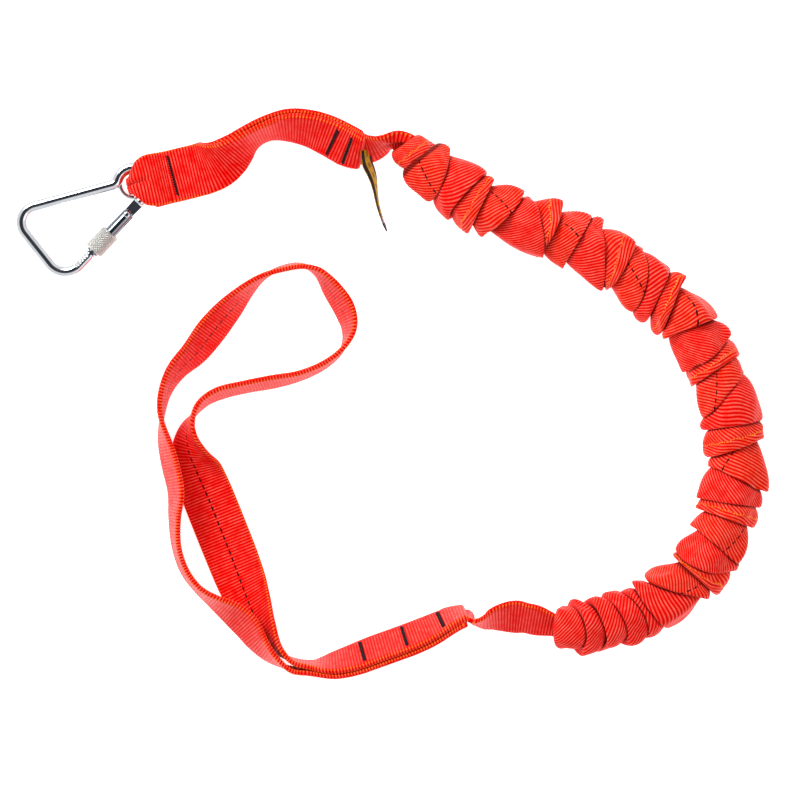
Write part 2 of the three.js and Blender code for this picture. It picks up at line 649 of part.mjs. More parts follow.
// ---------------------------------------------------------------- tail and tool loop
function addLoop() {
  const half = (hinge) => hinge.room / 2;
  const tailEnd = tailPath.length - half(TAIL_HINGE);
  const rearStart = half(TAIL_HINGE);
  const base = overlapPath.nearest(BASE_HINGE.x, BASE_HINGE.y);
  const waistOut = loopPath.nearest(-108.9, WAIST_HINGE.y);
  const waistIn = loopPath.nearest(-92.8, WAIST_HINGE.y);
  const baseIn = loopPath.length;

  add("tail_webbing", ply(tailPath, 2, tailEnd), webbing);
  add("overlap_rear_ply", ply(overlapPath, rearStart, base - half(BASE_HINGE), PLY_PITCH / 2), webbing);
  add("overlap_front_ply", ply(overlapPath, rearStart, base - half(BASE_HINGE), -PLY_PITCH / 2), webbing);
  add("loop_outer_arm", ply(loopPath, half(BASE_HINGE), waistOut - half(WAIST_HINGE)), webbing);
  add("loop_inner_arm", ply(loopPath, waistIn + half(WAIST_HINGE), baseIn - half(BASE_HINGE)), webbing);
  add("loop_head", ply(loopPath, waistOut + half(WAIST_HINGE), waistIn - half(WAIST_HINGE)), webbing);
  [[-12.8, -123.6], [7.3, -116.6], [24.9, -109.0]].forEach(([x, y], i) => {
    add(`loop_bar_tack_${i + 1}`, barTack(overlapPath, overlapPath.nearest(x, y), -1), thread);
  });

  noteJoint("tail_flex", new THREE.Vector3(TAIL_HINGE.x, TAIL_HINGE.y, 12.9), UP.clone());
  noteJoint("loop_base_flex", new THREE.Vector3(BASE_HINGE.x, BASE_HINGE.y, 12.7), UP.clone());
  noteJoint("loop_waist_flex", new THREE.Vector3(WAIST_HINGE.x, WAIST_HINGE.y, 12.8), UP.clone());
}

addHook();
addLeader();
addLabel();
addSleeve();
addLoop();

// Move the origin to the middle of the footprint, at the height of the surface.
const box = new THREE.Box3().setFromObject(lanyard, true);
const origin = box.getCenter(new THREE.Vector3()).setZ(box.min.z);
lanyard.position.copy(origin).negate();
for (const joint of Object.values(joints)) {
  joint.pos = new THREE.Vector3(...joint.pos).sub(origin).toArray();
}
lanyard.userData.joints = joints;

export default lanyard;
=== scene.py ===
"""Looks for the shock absorbing lanyard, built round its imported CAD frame. Metres, +Z up.

Webbing is laid along the CAD straps, the gathered sleeve is wound round the CAD elastic core, and the
snap hook is swept round the joints of its gate.
"""

import json
import math

import bpy
import numpy as np
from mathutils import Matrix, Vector


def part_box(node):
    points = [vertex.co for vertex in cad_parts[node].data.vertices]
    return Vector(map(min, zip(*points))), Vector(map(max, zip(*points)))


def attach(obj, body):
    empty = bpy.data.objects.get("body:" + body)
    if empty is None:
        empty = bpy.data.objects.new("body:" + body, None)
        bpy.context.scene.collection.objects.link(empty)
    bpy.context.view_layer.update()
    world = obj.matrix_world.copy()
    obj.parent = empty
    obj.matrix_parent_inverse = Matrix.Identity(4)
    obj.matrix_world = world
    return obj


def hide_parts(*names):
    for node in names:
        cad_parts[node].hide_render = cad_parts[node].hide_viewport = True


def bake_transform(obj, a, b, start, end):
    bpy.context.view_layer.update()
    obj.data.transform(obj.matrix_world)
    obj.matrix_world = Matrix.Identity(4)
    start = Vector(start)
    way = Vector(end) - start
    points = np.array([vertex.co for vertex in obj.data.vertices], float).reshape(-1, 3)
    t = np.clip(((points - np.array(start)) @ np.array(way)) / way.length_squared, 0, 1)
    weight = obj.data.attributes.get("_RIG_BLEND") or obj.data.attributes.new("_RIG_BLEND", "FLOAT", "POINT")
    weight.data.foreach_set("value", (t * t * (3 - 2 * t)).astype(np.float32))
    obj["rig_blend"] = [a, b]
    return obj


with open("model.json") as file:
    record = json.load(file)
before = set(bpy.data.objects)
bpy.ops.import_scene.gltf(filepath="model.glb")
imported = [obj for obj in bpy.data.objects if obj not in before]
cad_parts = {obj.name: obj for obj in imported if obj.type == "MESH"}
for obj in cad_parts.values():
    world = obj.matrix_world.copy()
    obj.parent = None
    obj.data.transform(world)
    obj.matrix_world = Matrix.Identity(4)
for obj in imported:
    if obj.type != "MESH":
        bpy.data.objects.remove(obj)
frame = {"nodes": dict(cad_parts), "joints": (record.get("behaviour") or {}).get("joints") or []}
bpy.context.view_layer.update()
joints = {joint["name"]: joint for joint in frame["joints"]}
joint_at = {name: np.array(joint["pos_m"]) for name, joint in joints.items() if "pos_m" in joint}

MM = 0.001
TAU = 2 * math.pi

# ---------------------------------------------------------------- driving dimensions
WEB_WIDTH = 25 * MM
PLY_THICK = 2.6 * MM  # one ply in the CAD frame
WEB_THICK = 2.1 * MM  # between the bottoms of the ribs on the two faces
RIB_PITCH = 1.45 * MM
RIB_HEIGHT = 0.24 * MM
FOLD_DEPTH = 4.4 * MM  # gathered sleeve, from the crest of a fold down to the crease
CREST_R = 13.7 * MM
BORE_R = 5.2 * MM
ROD_R = 3.0 * MM  # snap hook wire
TIP_LINKS = 8  # a point with this many neighbours is the middle of a CAD rod's round end


# ---------------------------------------------------------------- reading the frame
def mesh_graph(node):
    """A CAD node's points without doubles, and the neighbours of each."""
    mesh = frame["nodes"][node].data
    raw = np.array([v.co for v in mesh.vertices])
    points, index = np.unique(np.round(raw, 6), axis=0, return_inverse=True)
    index = np.ravel(index)
    neighbours = [set() for _ in points]
    for edge in mesh.edges:
        a, b = (int(index[v]) for v in edge.vertices)
        if a != b:
            neighbours[a].add(b)
            neighbours[b].add(a)
    return points, neighbours


def middle_of(node):
    low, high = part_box(node)
    return (np.array(low) + np.array(high)) / 2


def strap_stations(node, first_near, width=WEB_WIDTH, thick=PLY_THICK):
    """Centres and across directions of a CAD strap's cross-sections, starting at the end near a point."""
    points, neighbours = mesh_graph(node)
    close = 0.03 * MM
    diagonal = math.hypot(width, thick)
    ring_of = {}
    rings = []
    for i, p in enumerate(points):
        if i in ring_of:
            continue
        apart = np.linalg.norm(points - p, axis=1)
        for w in np.flatnonzero(abs(apart - width) < close):
            for t in np.flatnonzero(abs(apart - thick) < close):
                corner = points[w] + points[t] - p
                gap = np.linalg.norm(points - corner, axis=1)
                d = int(gap.argmin())
                if gap[d] < close and abs(apart[d] - diagonal) < close and i not in ring_of:
                    for member in (i, int(w), int(t), d):
                        ring_of[member] = len(rings)
                    rings.append(((p + points[d]) / 2, (points[w] - p) / width))
    links = [set() for _ in rings]
    for i, near in enumerate(neighbours):
        links[ring_of[i]] |= {ring_of[j] for j in near} - {ring_of[i]}
    ends = [i for i, near in enumerate(links) if len(near) == 1]
    order = [min(ends, key=lambda i: np.linalg.norm(rings[i][0] - first_near))]
    while len(order) < len(rings):
        order.append(next(j for j in links[order[-1]] if j not in order[-2:]))
    centres = np.array([rings[i][0] for i in order])
    across = np.array([rings[i][1] for i in order])
    for i in range(1, len(across)):
        if across[i] @ across[i - 1] < 0:
            across[i] *= -1
    return centres, across


def core_stations(node, first_near):
    """The middle line of a section of elastic core, from the tip near a point."""
    points, neighbours = mesh_graph(node)
    tips = [i for i, near in enumerate(neighbours) if len(near) >= TIP_LINKS]
    tips.sort(key=lambda i: np.linalg.norm(points[i] - first_near))
    layer, seen, middles = {tips[0]}, {tips[0]}, []
    while layer:
        middles.append(points[sorted(layer)].mean(axis=0))
        layer = {j for i in layer for j in neighbours[i]} - seen
        seen |= layer
    return np.array(middles)


class Rail:
    """A smooth line through stations, with a direction across it that turns along the way."""

    def __init__(self, centres, across=None):
        self.centres = np.asarray(centres, float)
        steps = np.linalg.norm(np.diff(self.centres, axis=0), axis=1)
        self.at = np.concatenate([[0], np.cumsum(steps)])
        self.length = self.at[-1]
        if across is None:
            across = np.cross([0, 0, 1], np.gradient(self.centres, self.at, axis=0))
        self.across = np.asarray(across, float)

    def hermite(self, values, s):
        """Cubic interpolation, carried on in a straight line beyond the ends."""
        slopes = np.gradient(values, self.at, axis=0)
        inside = np.clip(s, 0, self.length)
        i = np.clip(np.searchsorted(self.at, inside, side="right") - 1, 0, len(self.at) - 2)
        step = (self.at[i + 1] - self.at[i])[:, None]
        t = (inside - self.at[i])[:, None] / step
        value = (
            (2 * t**3 - 3 * t**2 + 1) * values[i]
            + (t**3 - 2 * t**2 + t) * step * slopes[i]
            + (3 * t**2 - 2 * t**3) * values[i + 1]
            + (t**3 - t**2) * step * slopes[i + 1]
        )
        slope = np.where((s > self.length)[:, None], slopes[-1], slopes[0])
        return value + (s - inside)[:, None] * slope

    def places(self, s):
        """Points of the line at an array of distances along it."""
        return self.hermite(self.centres, s)

    def frames(self, s):
        """Centre, along, across and outward directions at each distance."""
        s = np.atleast_1d(s)
        nudge = 0.1 * MM
        along = unit(self.places(s + nudge) - self.places(s - nudge))
        out = unit(np.cross(along, self.hermite(self.across, s)))
        return self.places(s), along, np.cross(out, along), out

    def sweep(self, s, x, z):
        """Rows of points at distances s, x across and z outward."""
        centre, _, side, out = self.frames(s)
        return centre[:, None] + x[..., None] * side[:, None] + z[..., None] * out[:, None]

    def nearest(self, point):
        """Distance along the line of its nearest point."""
        s = np.linspace(0, self.length, int(self.length / (0.2 * MM)))
        return s[np.linalg.norm(self.places(s) - point, axis=1).argmin()]


def unit(v):
    return v / np.linalg.norm(v, axis=-1, keepdims=True)


def smooth(low, high, x):
    t = np.clip((x - low) / (high - low), 0, 1)
    return t * t * (3 - 2 * t)


def cubic(t, a, b, c, d):
    """Bezier curve."""
    return (1 - t) ** 3 * a + 3 * (1 - t) ** 2 * t * b + 3 * (1 - t) * t**2 * c + t**3 * d


def joined_rail(pieces, facing=None):
    """One rail through several straps, each given as stations. Its outer face starts out towards facing."""
    centres, across = pieces[0]
    for more_centres, more_across in pieces[1:]:
        if more_across[0] @ across[-1] < 0:
            more_across = -more_across
        centres = np.concatenate([centres, more_centres])
        across = np.concatenate([across, more_across])
    rail = Rail(centres, across)
    if facing is not None and rail.frames(0)[3][0] @ facing < 0:
        rail = Rail(centres, -across)
    return rail


# ---------------------------------------------------------------- meshes
def mesh_object(name, points, faces, material, uv_sets=()):
    """A mesh from points and arrays of faces. Each UV set gives a value for every corner of every face."""
    mesh = bpy.data.meshes.new(name)
    mesh.vertices.add(len(points))
    mesh.vertices.foreach_set("co", np.asarray(points, np.float32).ravel())
    loops = np.concatenate([np.asarray(f, np.int32).ravel() for f in faces])
    sizes = np.concatenate([np.full(len(f), np.shape(f)[1], np.int32) for f in faces])
    mesh.loops.add(len(loops))
    mesh.loops.foreach_set("vertex_index", loops)
    mesh.polygons.add(len(sizes))
    starts = np.concatenate([[0], np.cumsum(sizes)[:-1]]).astype(np.int32)
    mesh.polygons.foreach_set("loop_start", starts)
    mesh.polygons.foreach_set("use_smooth", np.full(len(sizes), True))
    for label, values in uv_sets:
        layer = mesh.uv_layers.new(name=label)
        layer.data.foreach_set("uv", np.asarray(values, np.float32).ravel())
    mesh.update(calc_edges=True)
    mesh.validate()
    mesh.materials.append(material)
    made = bpy.data.objects.new(name, mesh)
    bpy.context.scene.collection.objects.link(made)
    return made


def quad_corners(rows, columns):
    """Row and column of each corner of every quad of a grid, counted on past the last row and column."""
    r, c = (g.ravel() for g in np.meshgrid(np.arange(rows), np.arange(columns), indexing="ij"))
    return np.stack([r, r + 1, r + 1, r], axis=1), np.stack([c, c, c + 1, c + 1], axis=1)


def strip_cap(columns, start, flip):
    """Quads that close a flat ring of points, pairing the two sides of it."""
    half = columns // 2
    i = np.arange(half - 1)
    quads = np.stack([start + i, start + i + 1, start + columns - 2 - i, start + columns - 1 - i], axis=1)
    return quads[:, ::-1] if flip else quads


def swept_tube(name, grid, material, uv_sets=()):
    """A closed piece from rows of ring points, capped at both ends. UVs are given for each point."""
    rows, columns = grid.shape[:2]
    r, c = quad_corners(rows - 1, columns)
    faces = [
        r * columns + c % columns,
        strip_cap(columns, 0, False),
        strip_cap(columns, (rows - 1) * columns, True),
    ]
    loops = np.concatenate([f.ravel() for f in faces])
    corner_uv = [(label, values.reshape(-1, 2)[loops]) for label, values in uv_sets]
    return mesh_object(name, grid.reshape(-1, 3), faces, material, corner_uv)


def swept_ring(name, grid, material, uv_sets=()):
    """A closed piece whose rows and columns both join up. UVs have one row and one column more."""
    rows, columns = grid.shape[:2]
    r, c = quad_corners(rows, columns)
    corner_uv = [(label, values[r, c].reshape(-1, 2)) for label, values in uv_sets]
    faces = [(r % rows) * columns + c % columns]
    return mesh_object(name, grid.reshape(-1, 3), faces, material, corner_uv)


def rod_grid(centre, side, up, radius, sides):
    """Rows of ring points round a line. The radius is one number, or a number for each point."""
    turn = np.arange(sides)[:, None] * TAU / sides
    ring = np.cos(turn) * side[:, None] + np.sin(turn) * up[:, None]
    return centre[:, None] + np.asarray(radius)[..., None] * ring


# ---------------------------------------------------------------- fixing pieces to bodies
def blend_along(piece, body_a, body_b, start, end, weights):
    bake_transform(piece, body_a, body_b, start=start, end=end)
    shares = piece.data.attributes["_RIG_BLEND"].data
    shares.foreach_set("value", np.asarray(weights, np.float32).ravel())


def blend_span(piece, body_a, body_b, rail, near, far, s):
    """Blends a piece between two distances along its rail. Each of its points lies at a distance in s."""
    start, end = rail.places(np.array([near, far]))
    blend_along(piece, body_a, body_b, start, end, smooth(near, far, s))


def settle(piece, slot, body, *nodes):
    """Puts a rigid piece on its body, in place of the CAD nodes that it shows."""
    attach(piece, body)
    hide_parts(*nodes)


# ---------------------------------------------------------------- machined shapes
def carve(piece, operation, tool):
    """Adds a tool to a piece, or cuts it away, and removes the tool."""
    modifier = piece.modifiers.new("carve", "BOOLEAN")
    modifier.operation = operation
    modifier.solver = "EXACT"
    modifier.object = tool
    shown = piece.evaluated_get(bpy.context.evaluated_depsgraph_get())
    result = bpy.data.meshes.new_from_object(shown)
    piece.modifiers.clear()
    piece.data = result
    bpy.data.objects.remove(tool)


def crisp(piece, degrees=32):
    """Smooth shading that stops at sharp edges."""
    for polygon in piece.data.polygons:
        polygon.use_smooth = True
    piece.data.set_sharp_from_angle(angle=math.radians(degrees))
    return piece


def lathe(name, to_row, outline, material, sides=48):
    """A closed solid turned round the x axis of a local frame. The outline starts and ends on that axis."""
    inner = np.array(outline[1:-1])
    turn = np.arange(sides) * TAU / sides
    ring = np.stack([np.zeros(sides), np.cos(turn), np.sin(turn)], axis=1)
    points = [[outline[0][0], 0, 0]]
    points += [tuple(p) for x, r in inner for p in ring * r + np.array([x, 0, 0])]
    points.append([outline[-1][0], 0, 0])
    r, c = quad_corners(len(inner) - 1, sides)
    i = np.arange(sides)
    last = len(points) - 1
    near_cap = np.stack([np.zeros_like(i), 1 + i, 1 + (i + 1) % sides], axis=1)
    far = 1 + (len(inner) - 1) * sides
    far_cap = np.stack([np.full_like(i, last), far + (i + 1) % sides, far + i], axis=1)
    faces = [1 + r * sides + c % sides, near_cap, far_cap]
    return crisp(mesh_object(name, to_row(np.array(points, float)), faces, material))


def prism(name, to_row, outline, low, high, material):
    """A closed solid with a flat outline in x and y, between two heights."""
    count = len(outline)
    flat = np.array(outline, float)
    points = np.concatenate([np.column_stack([flat, np.full(count, z)]) for z in (low, high)])
    i = np.arange(count)
    sides = np.stack([i, (i + 1) % count, (i + 1) % count + count, i + count], axis=1)
    faces = [sides, i[::-1][None, :], (i + count)[None, :]]
    return crisp(mesh_object(name, to_row(points), faces, material))


def arc_points(centre, radius, start, end, step=0.6 * MM):
    """Points of an arc, without its first one."""
    count = max(2, math.ceil(abs(end - start) * radius / step))
    angles = np.linspace(start, end, count + 1)[1:]
    return [(centre[0] + radius * math.cos(a), centre[1] + radius * math.sin(a)) for a in angles]


# ---------------------------------------------------------------- material nodes
class Nodes:
    """Short names for building the node tree of a material or a world."""

    def __init__(self, owner):
        owner.use_nodes = True
        self.owner = owner
        self.tree = owner.node_tree

    def add(self, kind, **values):
        node = self.tree.nodes.new(kind)
        for key, value in values.items():
            setattr(node, key, value)
        return node

    def link(self, source, target):
        self.tree.links.new(source, target)

    def put(self, value, target):
        if isinstance(value, bpy.types.NodeSocket):
            self.link(value, target)
        else:
            target.default_value = value

    def math(self, operation, a, b=0.0, c=0.0, clamp=False):
        node = self.add("ShaderNodeMath", operation=operation, use_clamp=clamp)
        for value, socket in zip((a, b, c), node.inputs):
            self.put(value, socket)
        return node.outputs[0]

    def mix(self, share, a, b):
        """Colour a turning into colour b. The node's first sockets are for numbers and vectors."""
        node = self.add("ShaderNodeMix", data_type="RGBA")
        self.put(share, node.inputs[0])
        self.put(a, node.inputs[6])
        self.put(b, node.inputs[7])
        return node.outputs[2]

    def uv(self, label):
        split = self.add("ShaderNodeSeparateXYZ")
        self.link(self.add("ShaderNodeUVMap", uv_map=label).outputs[0], split.inputs[0])
        return split.outputs[0], split.outputs[1]

    def on_object(self, kind, scale, vector=None, **values):
        """A node with a scale that takes places on the object, or another vector if one is given."""
        node = self.add(kind, **values)
        node.inputs["Scale"].default_value = scale
        self.link(vector or self.add("ShaderNodeTexCoord").outputs["Object"], node.inputs["Vector"])
        return node

    def noise(self, scale, detail=2.0, vector=None):
        node = self.on_object("ShaderNodeTexNoise", scale, vector)
        node.inputs["Detail"].default_value = detail
        return node.outputs["Fac"]

    def bump(self, height, strength, distance, under=None):
        node = self.add("ShaderNodeBump")
        node.inputs["Strength"].default_value = strength
        node.inputs["Distance"].default_value = distance
        self.link(height, node.inputs["Height"])
        if under:
            self.link(under, node.inputs["Normal"])
        return node.outputs[0]

    def phase(self, value, pitch):
        """0 to 1 over each pitch."""
        return self.math("FRACT", self.math("DIVIDE", value, pitch))

    def band(self, value, low, high, soft):
        """1 where value lies between low and high, with soft edges."""
        up = self.math("DIVIDE", self.math("SUBTRACT", value, low), soft, clamp=True)
        down = self.math("DIVIDE", self.math("SUBTRACT", high, value), soft, clamp=True)
        return self.math("MULTIPLY", up, down)

    def set(self, **values):
        """Inputs of the material's shader, with _ for each space of their names."""
        shader = self.tree.nodes["Principled BSDF"]
        for key, value in values.items():
            self.put(value, shader.inputs[key.replace("_", " ")])


def new_material(name):
    return Nodes(bpy.data.materials.new(name))


def rgb(red, green, blue):
    """Linear colour from display values of 0 to 255."""
    shares = [v / 255 for v in (red, green, blue)]
    linear = [((v + 0.055) / 1.055) ** 2.4 if v > 0.04 else v / 12.92 for v in shares]
    return (*linear, 1.0)


# Red webbing: painted shade in the bottoms of its ribs (also used for darker yarn specks), their crests on
# redder and oranger cloth, painted shade in the depths of a crease, a painted sheen on the crests and the
# tracer.
WEB_RIB_SHADE_AND_YARN = rgb(222, 0, 0)
WEB_BRIGHT = rgb(255, 8, 10)
WEB_ORANGE = rgb(255, 54, 0)
WEB_CREASE_SHADE = rgb(70, 0, 4)
WEB_PAINTED_SHEEN = rgb(255, 152, 134)
TRACER = rgb(24, 14, 22)

# The next five are in millimetres, as the UV maps are.
INNER_FACE = 100  # added to the place across on the inner face, where the tracer runs
NO_FACE = 50  # the place across where neither face has anything
TRACER_HALF = 0.42
DASH_PITCH = 3.8
WARP_PITCH = 0.62


def webbing_material(name, sheen, flecks, seam_colour, gathered=False):
    """Ribbed tape, with a painted sheen on its ribs, painted shade between them and flecks of another colour
    along its seam or edges.

    UV map "tape": x is the place across, y along. UV map "seam": x is the distance from the seam, y along
    it. Gathered cloth has a third, "tone": x is how orange it is, y the strength of the painted shade in
    creases and just beyond the lip of the fold above.
    """
    n = new_material(name)
    across, along = n.uv("tape")
    seam_x, seam_y = n.uv("seam")
    crest = n.math("SINE", n.math("MULTIPLY", n.phase(along, RIB_PITCH / MM), math.pi))
    if gathered:
        tone, crease_shade = n.uv("tone")
    else:
        tone = n.math("MULTIPLY_ADD", n.noise(14, 1), 1.1, -0.42, clamp=True)
    base = n.mix(tone, WEB_BRIGHT, WEB_ORANGE)
    # Painted shade: the valleys between the ribs are darker than the crests.
    base = n.mix(n.math("POWER", crest, 1.5), WEB_RIB_SHADE_AND_YARN, base)
    # Painted highlight: a pink sheen on the rib crests, in patches.
    sheen_patches = n.math("MULTIPLY_ADD", n.noise(240, 2), 1.2, sheen, clamp=True)
    base = n.mix(n.math("MULTIPLY", n.math("POWER", crest, 5.0), sheen_patches), base, WEB_PAINTED_SHEEN)
    yarn = n.math("MULTIPLY_ADD", n.noise(1400, 1), 0.9, -0.3, clamp=True)
    base = n.mix(yarn, base, WEB_RIB_SHADE_AND_YARN)
    # Painted shade: dark red in the creases and in a painted shadow beside the lip of the fold above.
    if gathered:
        base = n.mix(n.math("MULTIPLY", crease_shade, 0.8), base, WEB_CREASE_SHADE)

    tracer = n.band(n.math("SUBTRACT", across, INNER_FACE), -TRACER_HALF, TRACER_HALF, 0.12)
    dash = n.band(n.phase(along, DASH_PITCH), 0.05, 0.68, 0.05)
    base = n.mix(n.math("MULTIPLY", tracer, dash), base, TRACER)

    fleck = n.band(n.phase(seam_y, RIB_PITCH / MM), 0.2, 0.8, 0.15)
    seam = n.math("MULTIPLY", n.band(seam_x, -0.4, 0.4, 0.15), fleck)
    strength = n.math("MULTIPLY_ADD", n.noise(160, 1), 1.6, flecks, clamp=True)
    base = n.mix(n.math("MULTIPLY", seam, strength), base, seam_colour)

    warp = n.math("SINE", n.math("MULTIPLY", across, TAU / WARP_PITCH))
    grain = n.bump(warp, 0.35, 0.05 * MM)
    fuzz = n.bump(n.noise(2600, 3), 0.25, 0.06 * MM, grain)
    n.set(Base_Color=base, Roughness=n.math("MULTIPLY_ADD", n.noise(300), 0.2, 0.45), Normal=fuzz)
    # Fibres stand up from the cloth, so it shines where it is seen edge on.
    grazing = n.add("ShaderNodeLayerWeight").outputs["Facing"]
    n.set(Specular_IOR_Level=n.math("MULTIPLY", n.math("POWER", grazing, 4), 0.7))
    return n.owner


def thread_material():
    """Dark sewing thread, twisted."""
    n = new_material("bar_tack_thread")
    twist = n.on_object("ShaderNodeTexWave", 900, wave_type="BANDS", bands_direction="DIAGONAL")
    base = n.mix(n.noise(700), rgb(6, 3, 8), rgb(30, 16, 26))
    n.set(Base_Color=base, Roughness=0.62, Normal=n.bump(twist.outputs["Fac"], 0.4, 0.05 * MM))
    n.set(Specular_IOR_Level=0.15)
    return n.owner


def steel_material(name, tint, roughness, scratch):
    """Polished or plain steel with fine handling scratches."""
    n = new_material(name)
    squeezed = n.on_object("ShaderNodeMapping", (1, 1, 0.25))
    fine = n.noise(1800, 4, squeezed.outputs[0])
    smudge = n.noise(90, 3)
    n.set(Base_Color=n.mix(n.math("MULTIPLY", smudge, 0.5), tint, rgb(150, 152, 158)), Metallic=1.0)
    n.set(Roughness=n.math("MULTIPLY_ADD", smudge, 0.12, roughness))
    n.set(Normal=n.bump(fine, scratch, 0.02 * MM))
    return n.owner


def elastic_material():
    """Braided cover of the elastic core: small diamonds of dark thread."""
    n = new_material("elastic_braid")
    fibres = n.on_object("ShaderNodeTexVoronoi", 1100, distance="MANHATTAN")
    base = n.mix(fibres.outputs["Distance"], rgb(20, 20, 24), rgb(70, 70, 76))
    n.set(Base_Color=base, Roughness=0.8, Normal=n.bump(fibres.outputs["Distance"], 0.6, 0.2 * MM))
    return n.owner


def label_material():
    """Woven label tape: dark borders, a yellow stripe with dark dashes, a white bar and a dark tip.

    UV map "tape": x is 0 to 1 across (10 further on the back), y is mm along.
    """
    dash_pitch = 5.3
    white_from, white_to = 33.4, 36.8
    weave_pitch = 0.45
    n = new_material("label_cloth")
    across, along = n.uv("tape")
    across = n.math("FRACT", n.math("MINIMUM", across, 10.999))
    weave = n.math("SINE", n.math("MULTIPLY", along, TAU / weave_pitch))
    stripe = n.band(across, 0.24, 0.76, 0.03)
    yellow = n.mix(n.noise(420, 3), rgb(232, 204, 0), rgb(150, 124, 0))
    dashes = n.band(n.phase(along, dash_pitch), 0.2, 0.72, 0.06)
    dashes = n.math("MULTIPLY", dashes, n.band(across, 0.38, 0.62, 0.03))
    face = n.mix(n.math("MULTIPLY", dashes, 0.55), yellow, rgb(60, 38, 10))
    base = n.mix(stripe, rgb(16, 13, 14), face)
    white = n.math("MULTIPLY", n.band(along, white_from, white_to, 0.3), stripe)
    base = n.mix(white, base, rgb(214, 206, 205))
    base = n.mix(n.band(along, white_to - 0.2, 60, 0.3), base, rgb(24, 16, 20))
    n.set(Base_Color=base, Roughness=0.5, Specular_IOR_Level=0.1)
    n.set(Normal=n.bump(weave, 0.3, 0.05 * MM))
    return n.owner


WEBBING = webbing_material("webbing_red_orange", -0.28, 0.0, rgb(255, 132, 44))
GATHERED = webbing_material("webbing_gathered", -0.14, -0.2, rgb(255, 172, 36), gathered=True)
THREAD = thread_material()
STEEL = steel_material("polished_steel", rgb(226, 229, 233), 0.08, 0.12)
DARK_STEEL = steel_material("plain_steel", rgb(120, 124, 130), 0.3, 0.3)
# Painted shade: the gate's steel is darker than the wire's, standing in for the dark reflection on its
# barrel.
DARKENED_GATE_STEEL = steel_material("gate_steel_painted_dark", rgb(112, 122, 130), 0.12, 0.12)
KNURLED = steel_material("knurled_steel", rgb(196, 194, 188), 0.38, 0.2)
ELASTIC = elastic_material()
LABEL = label_material()

# ---------------------------------------------------------------- webbing
FACE_COLUMNS = 18
EDGE_COLUMNS = 5
# A rib's rows: shares of its pitch, with the share of its height at each.
RIB_ROWS = ((0.0, 0.0), (0.1, 0.55), (0.28, 0.93), (0.5, 1.0), (0.72, 0.93), (0.9, 0.55))
FLECK_INSET = 0.5 * MM  # from the edge of the tape in to the coloured flecks along it
HEM = 12 * MM
HEM_THICK = 1.35  # share of the thickness where the end is folded under
HEM_ROUND = 1.6 * MM
MOUTH_HALF = 6.5 * MM  # half width of the webbing where it goes into the gathered sleeve
MOUTH_DEEP = 8 * MM  # how far into that mouth the tail reaches
TACK_LENGTH = 19.5 * MM
TACK_HALF = 0.75 * MM  # half the width of a bar tack's zigzag
ZIGZAGS = 17
THREAD_R = 0.27 * MM
THREAD_RISE = 0.16 * MM  # of the thread's middle above the ribs
THREAD_SIDES = 6


def pairs(x, y):
    """A UV map from its two coordinates."""
    return np.stack(np.broadcast_arrays(x, y), axis=-1)


def tape_section():
    """The ring of points round the tape: places across and outward, swell of a rib, and UV across."""
    thick = WEB_THICK / 2
    flat = WEB_WIDTH / 2 - thick
    face = np.linspace(-flat, flat, FACE_COLUMNS)
    turn = np.arange(1, EDGE_COLUMNS + 1) / (EDGE_COLUMNS + 1) * math.pi
    edge = flat + thick * np.sin(turn)
    across = np.concatenate([face, edge, face[::-1], -edge])
    uv_across = np.concatenate([face, edge, INNER_FACE * MM + face[::-1], -edge]) / MM
    outward = np.concatenate([np.full(FACE_COLUMNS, thick), thick * np.cos(turn)])
    swell = np.concatenate([np.ones(FACE_COLUMNS), 0.3 + 0.55 * np.abs(np.cos(turn))])
    return across, np.concatenate([outward, -outward]), np.tile(swell, 2), uv_across


def tape_normals(across, outward):
    """The direction out of the tape, across and outward, at each point of its ring."""
    flat = (WEB_WIDTH - WEB_THICK) / 2
    over = np.where(np.abs(across) > flat, across - np.sign(across) * flat, 0)
    length = np.hypot(over, outward)
    return over / length, outward / length


def cut_at_rib(s):
    """The valley between two ribs that is nearest to a distance."""
    return round(s / RIB_PITCH) * RIB_PITCH


def rib_rows(start, end):
    """Distances of the rows from one rib valley to another, with the rib's height at each."""
    first, last = round(start / RIB_PITCH), round(end / RIB_PITCH)
    rows = [(k + phase, height) for k in range(first, last) for phase, height in RIB_ROWS]
    places, heights = np.array(rows + [(last, 0.0)]).T
    return places * RIB_PITCH, heights


def tape(name, rail, start, end, half_width=None, shape=None, thickness=None, traced=True):
    """Ribbed webbing along a rail, and the distance along the rail of each of its points.

    half_width and thickness give its half width and its share of the full thickness along the rail, and
    shape bows it out of flat. Only a traced tape shows the tracer on its inner face.
    """
    s, rib = rib_rows(start, end)
    across, outward, swell, uv_across = tape_section()
    normal_x, normal_z = tape_normals(across, outward)
    spread = 1 if half_width is None else half_width(s)[:, None] / (WEB_WIDTH / 2)
    thick = 1 if thickness is None else thickness(s)[:, None]
    bow = 0 if shape is None else shape(s[:, None], across / (WEB_WIDTH / 2))
    lift = RIB_HEIGHT * rib[:, None] * swell
    x = across * spread + lift * normal_x
    z = bow + thick * (outward + lift * normal_z)
    along = s[:, None] / MM
    from_flecks = (np.abs(across) - WEB_WIDTH / 2 + FLECK_INSET) / MM
    tape_uv = pairs(uv_across if traced else np.minimum(uv_across, NO_FACE), along)
    uvs = [("tape", tape_uv), ("seam", pairs(from_flecks, along))]
    piece = swept_tube(name, rail.sweep(s, x, z), WEBBING, uvs)
    return piece, np.repeat(s, len(across))


def hem(into):
    """Share of the thickness at a distance into a strap from its folded end."""
    into = np.clip(into, 0, None)
    nose = np.sqrt(1 - (1 - np.clip(into / HEM_ROUND, 0, 1)) ** 2)
    return np.maximum(nose, 0.04) * (1 + (HEM_THICK - 1) * smooth(HEM, HEM - 3 * MM, into))


